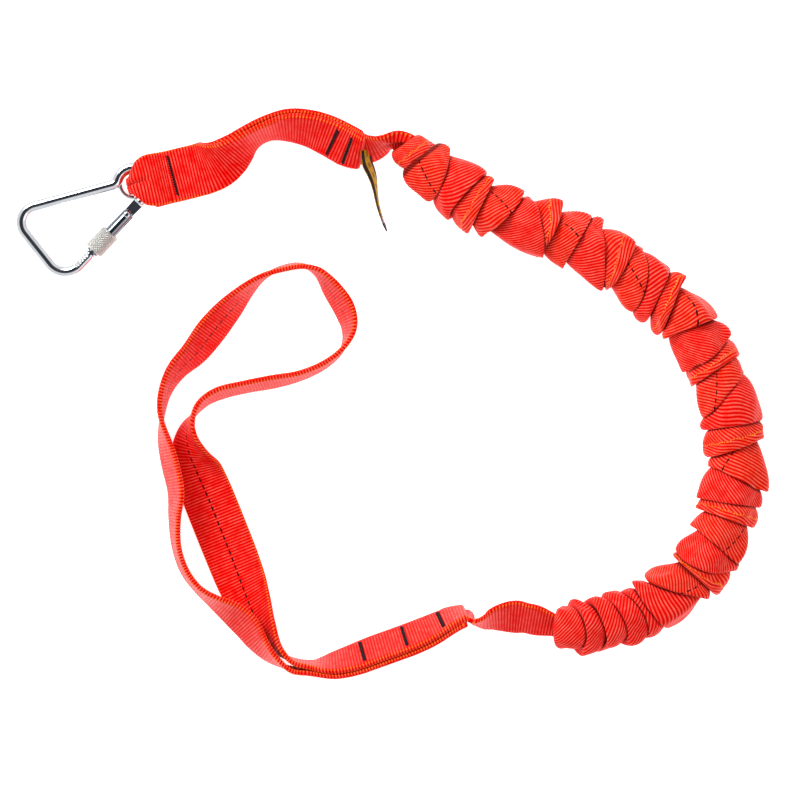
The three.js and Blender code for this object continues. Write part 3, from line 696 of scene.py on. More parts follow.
def bar_tack(node, rail, at, body, thick=1.0):
    """A dense zigzag of thick thread across the outer face of the tape, in place of a CAD bar tack."""
    t = np.linspace(0, 1, ZIGZAGS * 8 + 1)
    s = at + TACK_HALF * (2 / math.pi) * np.arcsin(np.sin(TAU * t * ZIGZAGS))
    centre, _, across, out = rail.frames(s)
    rib = RIB_HEIGHT * np.abs(np.sin(math.pi * s / RIB_PITCH))
    height = thick * (WEB_THICK / 2 + rib) + THREAD_RISE
    line = centre + ((t - 0.5) * TACK_LENGTH)[:, None] * across + height[:, None] * out
    tangent = unit(np.gradient(line, axis=0))
    side = unit(np.cross(tangent, out))
    grid = rod_grid(line, side, np.cross(side, tangent), THREAD_R, THREAD_SIDES)
    settle(swept_tube(f"{node}_zigzag", grid, THREAD), "stitching", body, node)


# ---------------------------------------------------------------- leader
FOLD_TIP = -11.4 * MM  # from the middle of the eye's wire, away from the leader
FOLD_RISE = 5.5 * MM
FOLD_REACH = 13 * MM  # from the tip of the fold to where the webbing is at its full width
FOLD_HALF = 4.0 * MM  # half width of the webbing where it turns through the eye
FOLD_MARGIN = 6 * MM  # how far the piece round the eye reaches along the two plies
WIRE_TO_FLEX = 7.2 * MM
PLEAT = 2.8 * MM  # depth of the pleat in the upper ply, beside the eye
NARROWING = 14 * MM  # stretch in which the webbing narrows to the sleeve's mouth
NECK_REACH = 9 * MM  # half the stretch that bends at neck_flex


def eye_hairpin(front, rear):
    """The webbing's way from its front ply round through the eye of the hook to its rear ply.

    Gives its stations, the middle of the eye's wire there, and the direction to the leader.
    """
    above = unit(front[0][0] - rear[0][0])
    middle = (front[0][0] + rear[0][0]) / 2
    away = unit((front[0][1] + rear[0][1]) / 2 - middle)
    wire = joint_at["eye_flex"] - WIRE_TO_FLEX * away
    end = (middle - wire) @ away
    ply = (front[0][0] - rear[0][0]) @ above / 2
    turn_at = FOLD_TIP + FOLD_RISE + PLY_THICK / 2
    t = np.linspace(0, 1, 12)[1:]
    x = cubic(t, end, end - 2 * MM, 2 * MM, turn_at)
    z = cubic(t, ply, ply + 0.3 * MM, FOLD_RISE, FOLD_RISE)
    turn = np.linspace(0, math.pi, 17)[1:-1]
    x = np.concatenate([x, turn_at - FOLD_RISE * np.sin(turn), x[::-1]])
    z = np.concatenate([z, FOLD_RISE * np.cos(turn), -z[::-1]])
    centres = wire + x[:, None] * away + z[:, None] * above
    return (centres, np.tile(-front[1][0], (len(x), 1))), wire, away


def make_leader():
    flex = joint_at["eye_flex"]
    neck_flex = joint_at["neck_flex"]
    front = strap_stations("leader_front_ply", flex)
    rear = strap_stations("leader_rear_ply", flex)
    neck = strap_stations("neck_webbing", neck_flex)
    hairpin, wire, away = eye_hairpin(front, rear)

    # Past the CAD neck the webbing runs on along the core, an eighth of a turn round.
    core = core_stations("elastic_core_01", neck[0][-1])[1:3]
    depth = np.linalg.norm(core[1] - core[0])
    turned = unit(neck[1][-1] - np.cross(core[1] - core[0], neck[1][-1]) / depth)
    neck = (np.concatenate([neck[0][:-1], core]), np.concatenate([neck[1][:-1], [turned, turned]]))
    front_back = (front[0][::-1], front[1][::-1])
    rail = joined_rail([front_back, hairpin, rear, neck], facing=front[0][0] - rear[0][0])
    front_end = rail.at[len(front[0]) - 1]
    rear_start = rail.at[len(front[0]) + len(hairpin[0])]
    eye_from, eye_to = cut_at_rib(front_end - FOLD_MARGIN), cut_at_rib(rear_start + FOLD_MARGIN)
    tip = (front_end + rear_start) / 2
    mouth = rail.length - depth

    def fold_width(s):
        past_tip = np.clip((rail.places(s) - wire) @ away - FOLD_TIP, 0, FOLD_REACH) / FOLD_REACH
        upper = np.maximum(WEB_WIDTH / 2 * (1 - (1 - past_tip) ** 2) ** 0.6, FOLD_HALF)
        lower = FOLD_HALF + (WEB_WIDTH / 2 - FOLD_HALF) * smooth(0.45, 1.0, past_tip)
        return np.where(s < tip, upper, lower)

    def fold_shape(s, x):
        upper = smooth(16 * MM, 8 * MM, tip - s) * smooth(-2 * MM, 1 * MM, tip - s)
        pleat = PLEAT * np.exp(-(((x + 0.06) / 0.075) ** 2))
        return -upper * (2.2 * MM * x**2 + pleat)

    fold, s = tape("eye_fold_webbing", rail, eye_from, eye_to, fold_width, fold_shape)
    share = smooth(11 * MM, 4 * MM, (rail.places(s) - wire) @ away)
    blend_along(fold, "leader", "eye_fold", flex + 4 * MM * away, flex - 4 * MM * away, share)
    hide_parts("webbing_eye_fold")

    front_ply, _ = tape("leader_front_webbing", rail, 0, eye_from, thickness=hem)
    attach(front_ply, "leader")
    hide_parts("leader_front_ply")

    def neck_width(s):
        return WEB_WIDTH / 2 + (MOUTH_HALF - WEB_WIDTH / 2) * smooth(mouth - NARROWING, mouth, s)

    def neck_shape(s, x):
        return 1.2 * MM * np.cos(TAU * x) * smooth(mouth - 12 * MM, mouth - 3 * MM, s)

    end = rail.length - 1 * MM
    rear_ply, s = tape("leader_rear_webbing", rail, eye_to, end, neck_width, neck_shape, traced=False)
    bend_at = rear_start + joined_rail([rear, neck]).nearest(neck_flex)
    blend_span(rear_ply, "leader", "sleeve_01", rail, bend_at - NECK_REACH, bend_at + NECK_REACH, s)
    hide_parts("leader_rear_ply", "neck_webbing")

    front_rail = Rail(rail.centres[: len(front[0])], rail.across[: len(front[0])])
    for node in ("leader_bar_tack_2", "leader_bar_tack_3"):
        at = front_rail.nearest(middle_of(node))
        bar_tack(node, rail, at, "leader", hem(at))
    from_eye = np.linalg.norm(middle_of("leader_bar_tack_1") - front[0][0])
    bar_tack("leader_bar_tack_1", rail, front_end - from_eye, "leader")


# ---------------------------------------------------------------- tail and tool loop
TAIL_REACH = 8 * MM  # half the stretch that bends at each joint
LOOP_REACH = 12 * MM
# Pieces in order along the webbing: name, the bodies that it joins, reach, and the CAD nodes it shows.
LOOP_PIECES = (
    ("tail_tape", "sleeve_12", "overlap", TAIL_REACH, ["tail_webbing"]),
    ("loop_outer_lower_tape", "overlap", "loop_arms", LOOP_REACH, ["overlap_rear_ply"]),
    ("loop_outer_upper_tape", "loop_arms", "loop_head", LOOP_REACH, ["loop_outer_arm"]),
    ("loop_inner_upper_tape", "loop_head", "loop_arms", LOOP_REACH, ["loop_head"]),
    ("loop_inner_lower_tape", "loop_arms", "overlap", LOOP_REACH, ["loop_inner_arm", "overlap_front_ply"]),
)


def make_loop():
    base = joint_at["loop_base_flex"]
    tail = strap_stations("tail_webbing", middle_of("elastic_core_12"))
    rear = strap_stations("overlap_rear_ply", joint_at["tail_flex"])
    outer = strap_stations("loop_outer_arm", base)
    head = strap_stations("loop_head", outer[0][-1])
    inner = strap_stations("loop_inner_arm", head[0][-1])
    front = strap_stations("overlap_front_ply", base)
    straps = [tail, rear, outer, head, inner, front]
    rail = joined_rail(straps)
    half_way = rail.nearest(outer[0][len(outer[0]) // 2])
    if rail.frames(half_way)[3][0][2] < 0:
        rail = Rail(rail.centres, -rail.across)
    end = cut_at_rib(rail.length)

    def width(s):
        return MOUTH_HALF + (WEB_WIDTH / 2 - MOUTH_HALF) * smooth(-2 * MM, 12 * MM, s)

    def end_hem(s):
        return hem(end - s)

    bends = [rail.nearest((a[0][-1] + b[0][0]) / 2) for a, b in zip(straps[:-1], straps[1:])]
    halves = [(a + b) / 2 for a, b in zip(bends[:-1], bends[1:])]
    cuts = [cut_at_rib(s) for s in (-MOUTH_DEEP, *halves, end)]
    for plan, bend, start, stop in zip(LOOP_PIECES, bends, cuts[:-1], cuts[1:]):
        name, body_a, body_b, reach, nodes = plan
        piece, s = tape(name, rail, start, stop, width, thickness=end_hem)
        blend_span(piece, body_a, body_b, rail, bend - reach, bend + reach, s)
        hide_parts(*nodes)

    front_start = rail.at[len(rail.at) - len(front[0])]
    front_rail = Rail(*front)
    for number in (1, 2, 3):
        node = f"loop_bar_tack_{number}"
        at = front_start + front_rail.nearest(middle_of(node))
        bar_tack(node, rail, at, "overlap", hem(rail.length - at))


# ---------------------------------------------------------------- label
LABEL_WIDTH = 12 * MM
LABEL_THICK = 0.7 * MM
LABEL_BULGE = 1.9 * MM  # how far its upper part bows out from the straight hang
LABEL_ROOT = (3 * MM, 10 * MM)  # where it is held by the hem, and where it moves freely
LABEL_COLUMNS = 17
UNDER_HEM = np.array((0.9, 6.9, 1.0)) * MM  # from its top to where it is sewn in under the hem


def make_label():
    """The sewn-in label: a doubled tape that lies against itself and narrows to a cut tip."""
    centres, across = strap_stations("label", joint_at["label_flap"], LABEL_WIDTH, LABEL_THICK)
    down = np.linalg.norm(centres - centres[0], axis=1)
    bulge = LABEL_BULGE * (1 - smooth(4 * MM, 22 * MM, down))[:, None] * np.array([1, 0, 0])
    centres = np.concatenate([[centres[0] + UNDER_HEM], centres + bulge])
    rail = joined_rail([(centres, np.concatenate([across[:1], across]))], facing=(1, 0, 0.5))
    s = np.linspace(0, rail.length, 130)
    share = s / rail.length
    tip = 1 - 0.8 * smooth(0.88, 1.0, share) ** 2
    half = LABEL_WIDTH / 2 * (1 - 0.4 * smooth(0.15, 0.7, share)) * tip
    x = np.linspace(-1, 1, LABEL_COLUMNS)
    section_x = np.concatenate([x, x[::-1]])
    section_z = np.repeat([1.0, -1.0], LABEL_COLUMNS) * np.sqrt(1.03 - section_x**2) ** 0.25
    bow = 0.5 * MM * (1 - section_x**2) * np.sin(math.pi * share)[:, None]
    grid = rail.sweep(s, section_x * half[:, None], section_z * LABEL_THICK / 2 + bow)
    uv_across = np.concatenate([(x + 1) / 2, 10 + (x[::-1] + 1) / 2])
    label = swept_tube("label_tape", grid, LABEL, [("tape", pairs(uv_across, s[:, None] / MM))])
    blend_span(label, "leader", "label", rail, *LABEL_ROOT, np.repeat(s, len(section_x)))
    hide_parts("label")


make_leader()
make_loop()
make_label()

# ---------------------------------------------------------------- snap hook
# Its flat outline is drawn with the middle of the eye at the origin and the gate pointing along x.
EYE_R = 8 * MM
SPINE_WAY = math.radians(148.7)  # from the gate's direction
SPINE_OFFSET = 2.4 * MM  # how far the spine's line passes from the middle of the eye
NECK_R = 4 * MM
BACK_CORNER = 61.6 * MM
BACK_R = 8.2 * MM
NOSE_CORNER = 57 * MM
NOSE_R = 9.4 * MM
SHOULDER = 5 * MM
TANG = {"from": 3.5 * MM, "half_width": 2.6 * MM, "tip_r": 2.4 * MM, "half_thick": 1 * MM}
PIVOT = 12.6 * MM
NOSE_END = 37.9 * MM
GATE_END = NOSE_END - 0.4 * MM
GATE_CHAMFER = 0.35 * MM
FORK = {"back": 4 * MM, "front": 5 * MM, "half_width": 4 * MM, "half_thick": 1.3 * MM}
RIVET = {"half_length": 2.7 * MM, "shank_r": 1 * MM, "head_r": 1.45 * MM, "dome": 0.5 * MM}
THREAD_PITCH = 1.5 * MM
THREAD_DEPTH = 0.6 * MM
THREAD_SPAN = (1.2 * MM, 10.5 * MM)  # along the nose
NOSE_RELIEF = 0.5 * MM  # how much thinner the nose is in front of its thread
ROD_SIDES = 56
TONGUE = {"thick": 1.6 * MM, "width": 2.8 * MM, "length": 1.8 * MM}
SLOT_GAP = 0.3 * MM  # round the tongue
LOCK_R = 4.7 * MM
LOCK_BORE_R = 3.35 * MM
LOCK_FROM = 24.2 * MM
LOCK_LENGTH = 12.1 * MM
LOCK_RIM = 0.45 * MM
LOCK_ROWS = 92
LOCK_SIDES = 150
KNURL_PITCH = 0.95 * MM
KNURL_DEPTH = 0.42 * MM
EYE_BAR_R = 1 * MM
EYE_BAR_BEND = 6.3 * MM  # radius of its curve round the middle of the eye
EYE_BAR_SPAN = (math.radians(-48.2), math.radians(49.8))

hook_up = np.array(joints["hook_swing"]["axis"])
gate_way = -np.array(joints["lock_turn"]["axis"])
gate_side = np.cross(hook_up, gate_way)  # away from the inside of the hook
eye = joint_at["hook_swing"]


def on_hook(points):
    """From the hook's own frame to the row frame."""
    points = np.asarray(points, float)
    return eye + points[..., :1] * gate_way + points[..., 1:2] * gate_side + points[..., 2:] * hook_up


def on_gate(points):
    """The same, with x starting beside the eye and y measured from the gate's middle line."""
    return on_hook(np.asarray(points, float) + np.array([0, EYE_R, 0]))


def on_pivot(points):
    """The same again, with x along the gate's hinge pin and starting at its middle."""
    turned = np.asarray(points)[:, [1, 2, 0]]
    return on_gate(turned + np.array([PIVOT, 0, 0]))


def flat_rail(path):
    """A rail along a path that is drawn flat in the hook's own frame."""
    level = np.column_stack([path, np.zeros(len(path))])
    return Rail(on_hook(level), np.tile(hook_up, (len(path), 1)))


def heading(angle):
    return np.array([math.cos(angle), math.sin(angle)])


def rounded_corner(before, corner, after, radius):
    """The arc that rounds a corner of a path."""
    way_in, way_out = unit(corner - before), unit(after - corner)
    turn = math.acos(way_in @ way_out)
    side = math.copysign(1, way_in[0] * way_out[1] - way_in[1] * way_out[0])
    inward = side * radius * np.array([-way_in[1], way_in[0]])
    centre = corner - radius * math.tan(turn / 2) * way_in + inward
    start = math.atan2(-inward[1], -inward[0])
    first = centre + radius * heading(start)
    return [tuple(first), *arc_points(centre, radius, start, start + side * turn)]


def hook_outline():
    """The middle line of the bent wire, from its shoulder round the eye, spine and basket to its nose."""
    spine_up = heading(SPINE_WAY + math.pi / 2)

    def on_spine(back):
        return SPINE_OFFSET * spine_up - back * heading(SPINE_WAY)

    neck_rise = SPINE_OFFSET + NECK_R
    neck_back = math.sqrt((EYE_R + NECK_R) ** 2 - neck_rise**2)
    neck = on_spine(neck_back) + NECK_R * spine_up
    to_neck = math.atan2(neck[1], neck[0])
    back = on_spine(BACK_CORNER)
    nose = np.array([NOSE_CORNER, EYE_R])
    nose_end = np.array([NOSE_END, EYE_R])
    path = [(SHOULDER, EYE_R), (SHOULDER / 2, EYE_R), (0, EYE_R)]
    path += arc_points((0, 0), EYE_R, -1.5 * math.pi, to_neck)
    path += arc_points(neck, NECK_R, to_neck + math.pi, SPINE_WAY - math.pi / 2)
    path += rounded_corner(on_spine(neck_back), back, nose, BACK_R)
    path += rounded_corner(back, nose, nose_end, NOSE_R)
    path.append(tuple(nose_end))
    return np.array(path)


def dense(path, step):
    """The same path with points no further apart than step."""
    points = [path[0]]
    for a, b in zip(path[:-1], path[1:]):
        count = max(1, math.ceil(np.linalg.norm(b - a) / step))
        points += [a + (b - a) * (i + 1) / count for i in range(count)]
    return np.array(points)


def rectangle(left, right, low, high):
    return [(left, low), (right, low), (right, high), (left, high)]


def hook_radius(s, length):
    """Radius of the wire, row by row and side by side, with the thread on the inner side of its nose."""
    from_nose = (length - s)[:, None]
    turn = np.arange(ROD_SIDES) * TAU / ROD_SIDES
    winding = (from_nose / THREAD_PITCH - turn / TAU) % 1
    inner_side = np.clip(0.25 - np.sin(turn), 0, 1) ** 0.5
    groove = THREAD_DEPTH * inner_side * (1 - np.abs(2 * winding - 1)) ** 0.8
    groove = groove * smooth(THREAD_SPAN[1], THREAD_SPAN[1] - THREAD_PITCH, from_nose)
    groove = np.where(from_nose > THREAD_SPAN[0], groove, NOSE_RELIEF)
    round_nose = 0.5 * MM * (1 - smooth(0, 0.5 * MM, from_nose))
    round_shoulder = 0.5 * MM * (1 - smooth(0, 0.6 * MM, s[:, None]))
    return ROD_R - groove - (round_nose + round_shoulder)


def make_hook_frame():
    """The bent wire, with a flat tang for the gate at one end and a slot for its tongue at the other."""
    rail = flat_rail(dense(hook_outline(), 0.6 * MM))
    thread_start = rail.length - THREAD_SPAN[1]
    plain = np.linspace(0, thread_start, 300)[:-1]
    s = np.concatenate([plain, np.linspace(thread_start, rail.length, 110)])
    centre, _, side, up = rail.frames(s)
    grid = rod_grid(centre, side, up, hook_radius(s, rail.length), ROD_SIDES)
    wire = swept_tube("hook_frame", grid, STEEL)

    tip = TANG["tip_r"]
    tang = [(TANG["from"], -TANG["half_width"]), (PIVOT, -tip)]
    tang += arc_points((PIVOT, 0), tip, -math.pi / 2, math.pi / 2)
    tang.append((TANG["from"], TANG["half_width"]))
    half = TANG["half_thick"]
    carve(wire, "UNION", prism("tang", on_gate, tang, -half, half, STEEL))

    slot_end = GATE_END + TONGUE["length"] + 0.4 * MM
    slot = rectangle(NOSE_END - 1 * MM, slot_end, -3.5 * MM, TONGUE["width"] / 2 + SLOT_GAP)
    half = TONGUE["thick"] / 2 + SLOT_GAP
    carve(wire, "DIFFERENCE", prism("slot", on_gate, slot, -half, half, STEEL))
    settle(crisp(wire), "steel", "hook", "hook_body")


def make_gate():
    """The gate barrel with a domed, forked hinge end and a tongue at its tip."""
    turns = np.linspace(0, math.pi / 2, 13)
    outline = [(PIVOT - ROD_R * math.cos(a), ROD_R * math.sin(a)) for a in turns]
    outline += [(GATE_END - GATE_CHAMFER, ROD_R), (GATE_END, ROD_R - GATE_CHAMFER), (GATE_END, 0)]
    gate = lathe("gate", on_gate, outline, DARKENED_GATE_STEEL)

    width, half = FORK["half_width"], FORK["half_thick"]
    fork = rectangle(PIVOT - FORK["back"], PIVOT + FORK["front"], -width, width)
    carve(gate, "DIFFERENCE", prism("fork", on_gate, fork, -half, half, DARKENED_GATE_STEEL))

    width, half = TONGUE["width"] / 2, TONGUE["thick"] / 2
    tongue = rectangle(GATE_END - 1 * MM, GATE_END + TONGUE["length"], -width, width)
    carve(gate, "UNION", prism("tongue", on_gate, tongue, -half, half, DARKENED_GATE_STEEL))
    settle(crisp(gate), "steel", "gate", "gate_barrel")


def make_rivet():
    """The gate's hinge pin, with two domed heads."""
    half, dome, head = RIVET["half_length"], RIVET["dome"], RIVET["head_r"]
    turns = np.linspace(math.pi / 2, 0, 9)
    far = [(half + dome * math.cos(a), head * math.sin(a)) for a in turns]
    near = [(-x, r) for x, r in reversed(far)]
    shank = [(-half, RIVET["shank_r"]), (half, RIVET["shank_r"])]
    rivet = lathe("gate_rivet_domed", on_pivot, near + shank + far, STEEL, sides=32)
    settle(rivet, "steel", "gate", "gate_rivet")


def make_lock_sleeve():
    """A tube with two sets of knurling grooves that cross, and rounded rims."""
    turn = np.linspace(0, TAU, LOCK_SIDES + 1)[None, :-1]
    x = np.linspace(0, LOCK_LENGTH, LOCK_ROWS)[:, None]
    pitch = TAU * LOCK_R / round(TAU * LOCK_R / (KNURL_PITCH * math.sqrt(2)))
    left = np.abs(((turn * LOCK_R + x) / pitch) % 1 * 2 - 1)
    right = np.abs(((turn * LOCK_R - x) / pitch) % 1 * 2 - 1)
    bite = KNURL_DEPTH * (1 - np.minimum(left, right)) ** 2
    edge = np.minimum(x, LOCK_LENGTH - x)
    into_rim = np.clip(LOCK_RIM - edge, 0, LOCK_RIM)
    round_off = LOCK_RIM - np.sqrt(LOCK_RIM**2 - into_rim**2)
    outer = LOCK_R - bite * smooth(0.3 * MM, 0.9 * MM, edge) - round_off
    bore_x = np.linspace(LOCK_LENGTH, 0, 4)[:, None]
    radius = np.concatenate([outer, np.full((4, LOCK_SIDES), LOCK_BORE_R)])
    place = np.broadcast_to(LOCK_FROM + np.concatenate([x, bore_x]), radius.shape)
    grid = np.stack([place, radius * np.cos(turn), radius * np.sin(turn)], axis=-1)
    sleeve = crisp(swept_ring("lock_sleeve_knurled", on_gate(grid), KNURLED), 50)
    settle(sleeve, "knurled_steel", "lock_sleeve", "lock_sleeve")


def make_eye_bar():
    """The thin curved bar that closes the eye off from the basket."""
    rail = flat_rail(np.array([heading(a) * EYE_BAR_BEND for a in np.linspace(*EYE_BAR_SPAN, 40)]))
    centre, _, side, up = rail.frames(np.linspace(0, rail.length, 60))
    bar = swept_tube("eye_bar_round", rod_grid(centre, side, up, EYE_BAR_R, 20), STEEL)
    settle(crisp(bar), "steel", "hook", "eye_bar")


make_hook_frame()
make_gate()
make_rivet()
make_lock_sleeve()
make_eye_bar()

# ---------------------------------------------------------------- gathered sleeve
FOLDS = 32
SECTIONS = 12
FOLD_ROWS = 56
BORE_ROWS = 3
ROUND_COLUMNS = 280
THETA = np.linspace(-math.pi, math.pi, ROUND_COLUMNS + 1)  # round the sleeve, from its top
# Three kinds of panel take turns: a broad one, a narrow one with a seam, and one with the tracer.
SEAMED, TRACED = 1, 2
FOLD_SHARES = (1.2, 0.82, 0.98)
RIB_ANGLES = ((52, 64), (49, 80), (60, 60))  # from the sleeve's axis, before and after the seam
TONES = (0.0, 0.65, 0.75)
ALIKE = 5  # the last panels before the tail are narrow, without seams, and shaped like scales
ALIKE_SHARE = 0.8
ALIKE_LEAN = (-0.32 * CREST_R, -0.1 * CREST_R)
RESTING = 0.05 * MM  # height of the cloth where it lies flat on the floor
LIP_SHADOW = 1.5 * MM  # how far the painted shadow in a crease reaches out from under the fold above it
SEAM_WAVE = (0.3 * MM, 7 * MM)  # height and length of the waves in a seam
START_TAPER = (0.52, 15 * MM)  # share of the full radius at that end, and how far it reaches
END_TAPER = (0.62, 14 * MM)


def taper(from_end, share, reach):
    return share + (1 - share) * smooth(0, reach, from_end)


def fold_plan(length):
    """Creases (place, and how far each leans) and the look of each panel between two of them."""
    rng = np.random.default_rng(7)
    kind = (np.arange(FOLDS) + 1) % 3
    kind[-ALIKE:] = 0
    shares = np.array(FOLD_SHARES)[kind] * rng.uniform(0.85, 1.15, FOLDS)
    shares[-ALIKE:] = ALIKE_SHARE
    places = np.concatenate([[0], np.cumsum(shares)]) / shares.sum() * length
    tilts = CREST_R * np.tan(np.radians(rng.uniform(-18, 34, FOLDS + 1)))
    ways = rng.normal(-math.pi / 2, 0.6, FOLDS + 1)
    leans = np.stack([tilts * np.cos(ways), tilts * np.sin(ways)], axis=1)
    leans[-ALIKE:] = ALIKE_LEAN
    leans[0] *= 0.4
    leans[FOLDS] *= -0.4  # out over the sleeve's mouth
    for k in range(1, FOLDS + 1):
        step = leans[k] - leans[k - 1]
        most = 0.85 * (places[k] - places[k - 1])
        leans[k] = leans[k - 1] + step * most / max(most, np.linalg.norm(step))
    full = taper(places, *START_TAPER) * taper(length - places, *END_TAPER)
    return {
        "kind": kind,
        "places": places,
        "leans": leans,
        "foot": CREST_R * full - FOLD_DEPTH * full**2,
        "crest": CREST_R * rng.uniform(0.93, 1.03, FOLDS) * (full[:-1] + full[1:]) / 2,
        "lead": rng.uniform(-0.12, 0.1, FOLDS),
        # A panel hangs over the next one and leans that way, except for the last.
        "over": np.append(rng.uniform(1.2, 1.8, FOLDS)[:-1], 1.0),
        "flat": rng.uniform(2.6, 4.2, FOLDS),
        "corner_way": rng.uniform(0, TAU, FOLDS),
        "wing": rng.uniform(0.3, 2.6, FOLDS) * MM * full[:-1] ** 2 * full[1:] ** 2,
        "skew": np.append(rng.uniform(1.0, 2.0, FOLDS)[:-1], 1.0),
        "wing_way": rng.choice([0.5, -0.5], FOLDS) * math.pi + rng.normal(0, 0.4, FOLDS),
        "fan": rng.uniform(-3.5, 3.5, FOLDS) * MM,
        "tracer": rng.uniform(-0.6, 0.6, FOLDS),
        "tone": rng.uniform(0, 0.25, FOLDS) + np.array(TONES)[kind],
    }


def rounded_square(theta, flat):
    """Radius of a rounded square against a circle: the larger flat is, the sharper its corners."""
    reach = np.abs(np.cos(theta)) ** flat + np.abs(np.sin(theta)) ** flat
    return reach ** (-1 / flat) / 2 ** (0.25 - 0.5 / flat)


def crease(plan, k):
    """Places of a crease along the sleeve, all the way round."""
    round_way = np.stack([np.cos(THETA), np.sin(THETA)], axis=-1)
    return plan["places"][k] + round_way @ plan["leans"][k]


def panel_shape(plan, k, t):
    """Places along the sleeve and radii of a panel's points, and how far up from the creases they are."""
    start = crease(plan, k)
    width = crease(plan, k + 1) - start
    plump = 0.72 + 0.28 * np.clip(width / (12 * MM), 0.2, 1.2)
    foot = plan["foot"][k] * (1 - t) + plan["foot"][k + 1] * t
    wing = plan["wing"][k] * np.clip(np.cos(THETA - plan["wing_way"][k]), 0, 1) ** 6
    crest = plan["crest"][k] * rounded_square(THETA - plan["corner_way"][k], plan["flat"][k]) + wing
    bulge = 1 - np.abs(2 * t ** plan["skew"][k] - 1) ** 2.8
    wrinkle = 0.35 * MM * np.sin(5 * THETA + 9 * t + k) * np.sin(math.pi * t)
    s = start + width * cubic(t, 0, plan["lead"][k], plan["over"][k], 1)
    return s, foot + (crest - foot) * plump * bulge + wrinkle, bulge


def panel_weave(plan, k, s, radius):
    """Where a panel's points lie on its cloth: along its ribs, across them, and from its seam."""
    kind = plan["kind"][k]
    steps = np.hypot(np.diff(s, axis=0), np.diff(radius, axis=0))
    arc = np.concatenate([np.zeros((1, THETA.size)), np.cumsum(steps, axis=0)])
    total = arc[-1] + steps[-1]
    wave = SEAM_WAVE[0] * np.sin(TAU * CREST_R * THETA / SEAM_WAVE[1])
    seam = arc - total * (0.5 if kind == SEAMED else 2) - wave
    before, after = RIB_ANGLES[kind]
    angle = np.radians(np.where(seam > 0, after, before))
    turns = np.round(np.cos(angle) * TAU * CREST_R / RIB_PITCH)
    fan = plan["fan"][k] * np.sin(THETA - 0.4) * (arc / total - 0.5)
    ribs = np.sin(angle) * arc - turns * RIB_PITCH * THETA / TAU + fan
    around = CREST_R * (THETA - plan["tracer"][k])
    from_tracer = np.cos(angle) * (arc - total / 2) + np.sin(angle) * around
    across = np.where(kind == TRACED, INNER_FACE * MM + from_tracer, NO_FACE * MM)
    return ribs, across, seam


def sleeve_grid(plan):
    """The gathered cloth, a row for each step of each panel.

    Gives places along the sleeve, radii, places on the ribs, how much of the ribs shows, and three UV maps.
    """
    t = np.arange(FOLD_ROWS) / FOLD_ROWS
    t = (0.6 * t + 0.2 * (1 - np.cos(math.pi * t)))[:, None]  # closer together at the creases
    lip = -1
    blocks = []
    for k in range(FOLDS):
        s, radius, bulge = panel_shape(plan, k, t)
        ribs, across, seam = panel_weave(plan, k, s, radius)
        shown = np.sin(math.pi * t) ** 0.5 * np.clip(np.abs(seam) / (0.5 * MM), 0.25, 1)
        # Painted shade: dark in the creases, with a painted shadow just beyond the lip of the fold above.
        shadow = 1 - smooth(0.2 * MM, LIP_SHADOW, s - lip)
        crease_shade = np.maximum(1 - smooth(0, 0.4, bulge), shadow)
        lip = s.max(axis=0)
        maps = pairs(across, ribs) / MM, pairs(seam, CREST_R * THETA) / MM, pairs(plan["tone"][k], crease_shade)
        blocks.append([s, radius, ribs, shown, *maps])
    return [np.concatenate(values) for values in zip(*blocks)]


def round_rail(rail, s, radius):
    """Points round a rail. The last column is left out, because it would lie on the first."""
    radius = np.broadcast_to(radius, s.shape)[:, :-1]
    s = s[:, :-1]
    turn = np.broadcast_to(THETA[:-1], s.shape).reshape(-1, 1)
    centre, _, side, out = rail.frames(s.ravel())
    points = centre + radius.reshape(-1, 1) * (np.cos(turn) * out + np.sin(turn) * side)
    return points.reshape(*s.shape, 3)


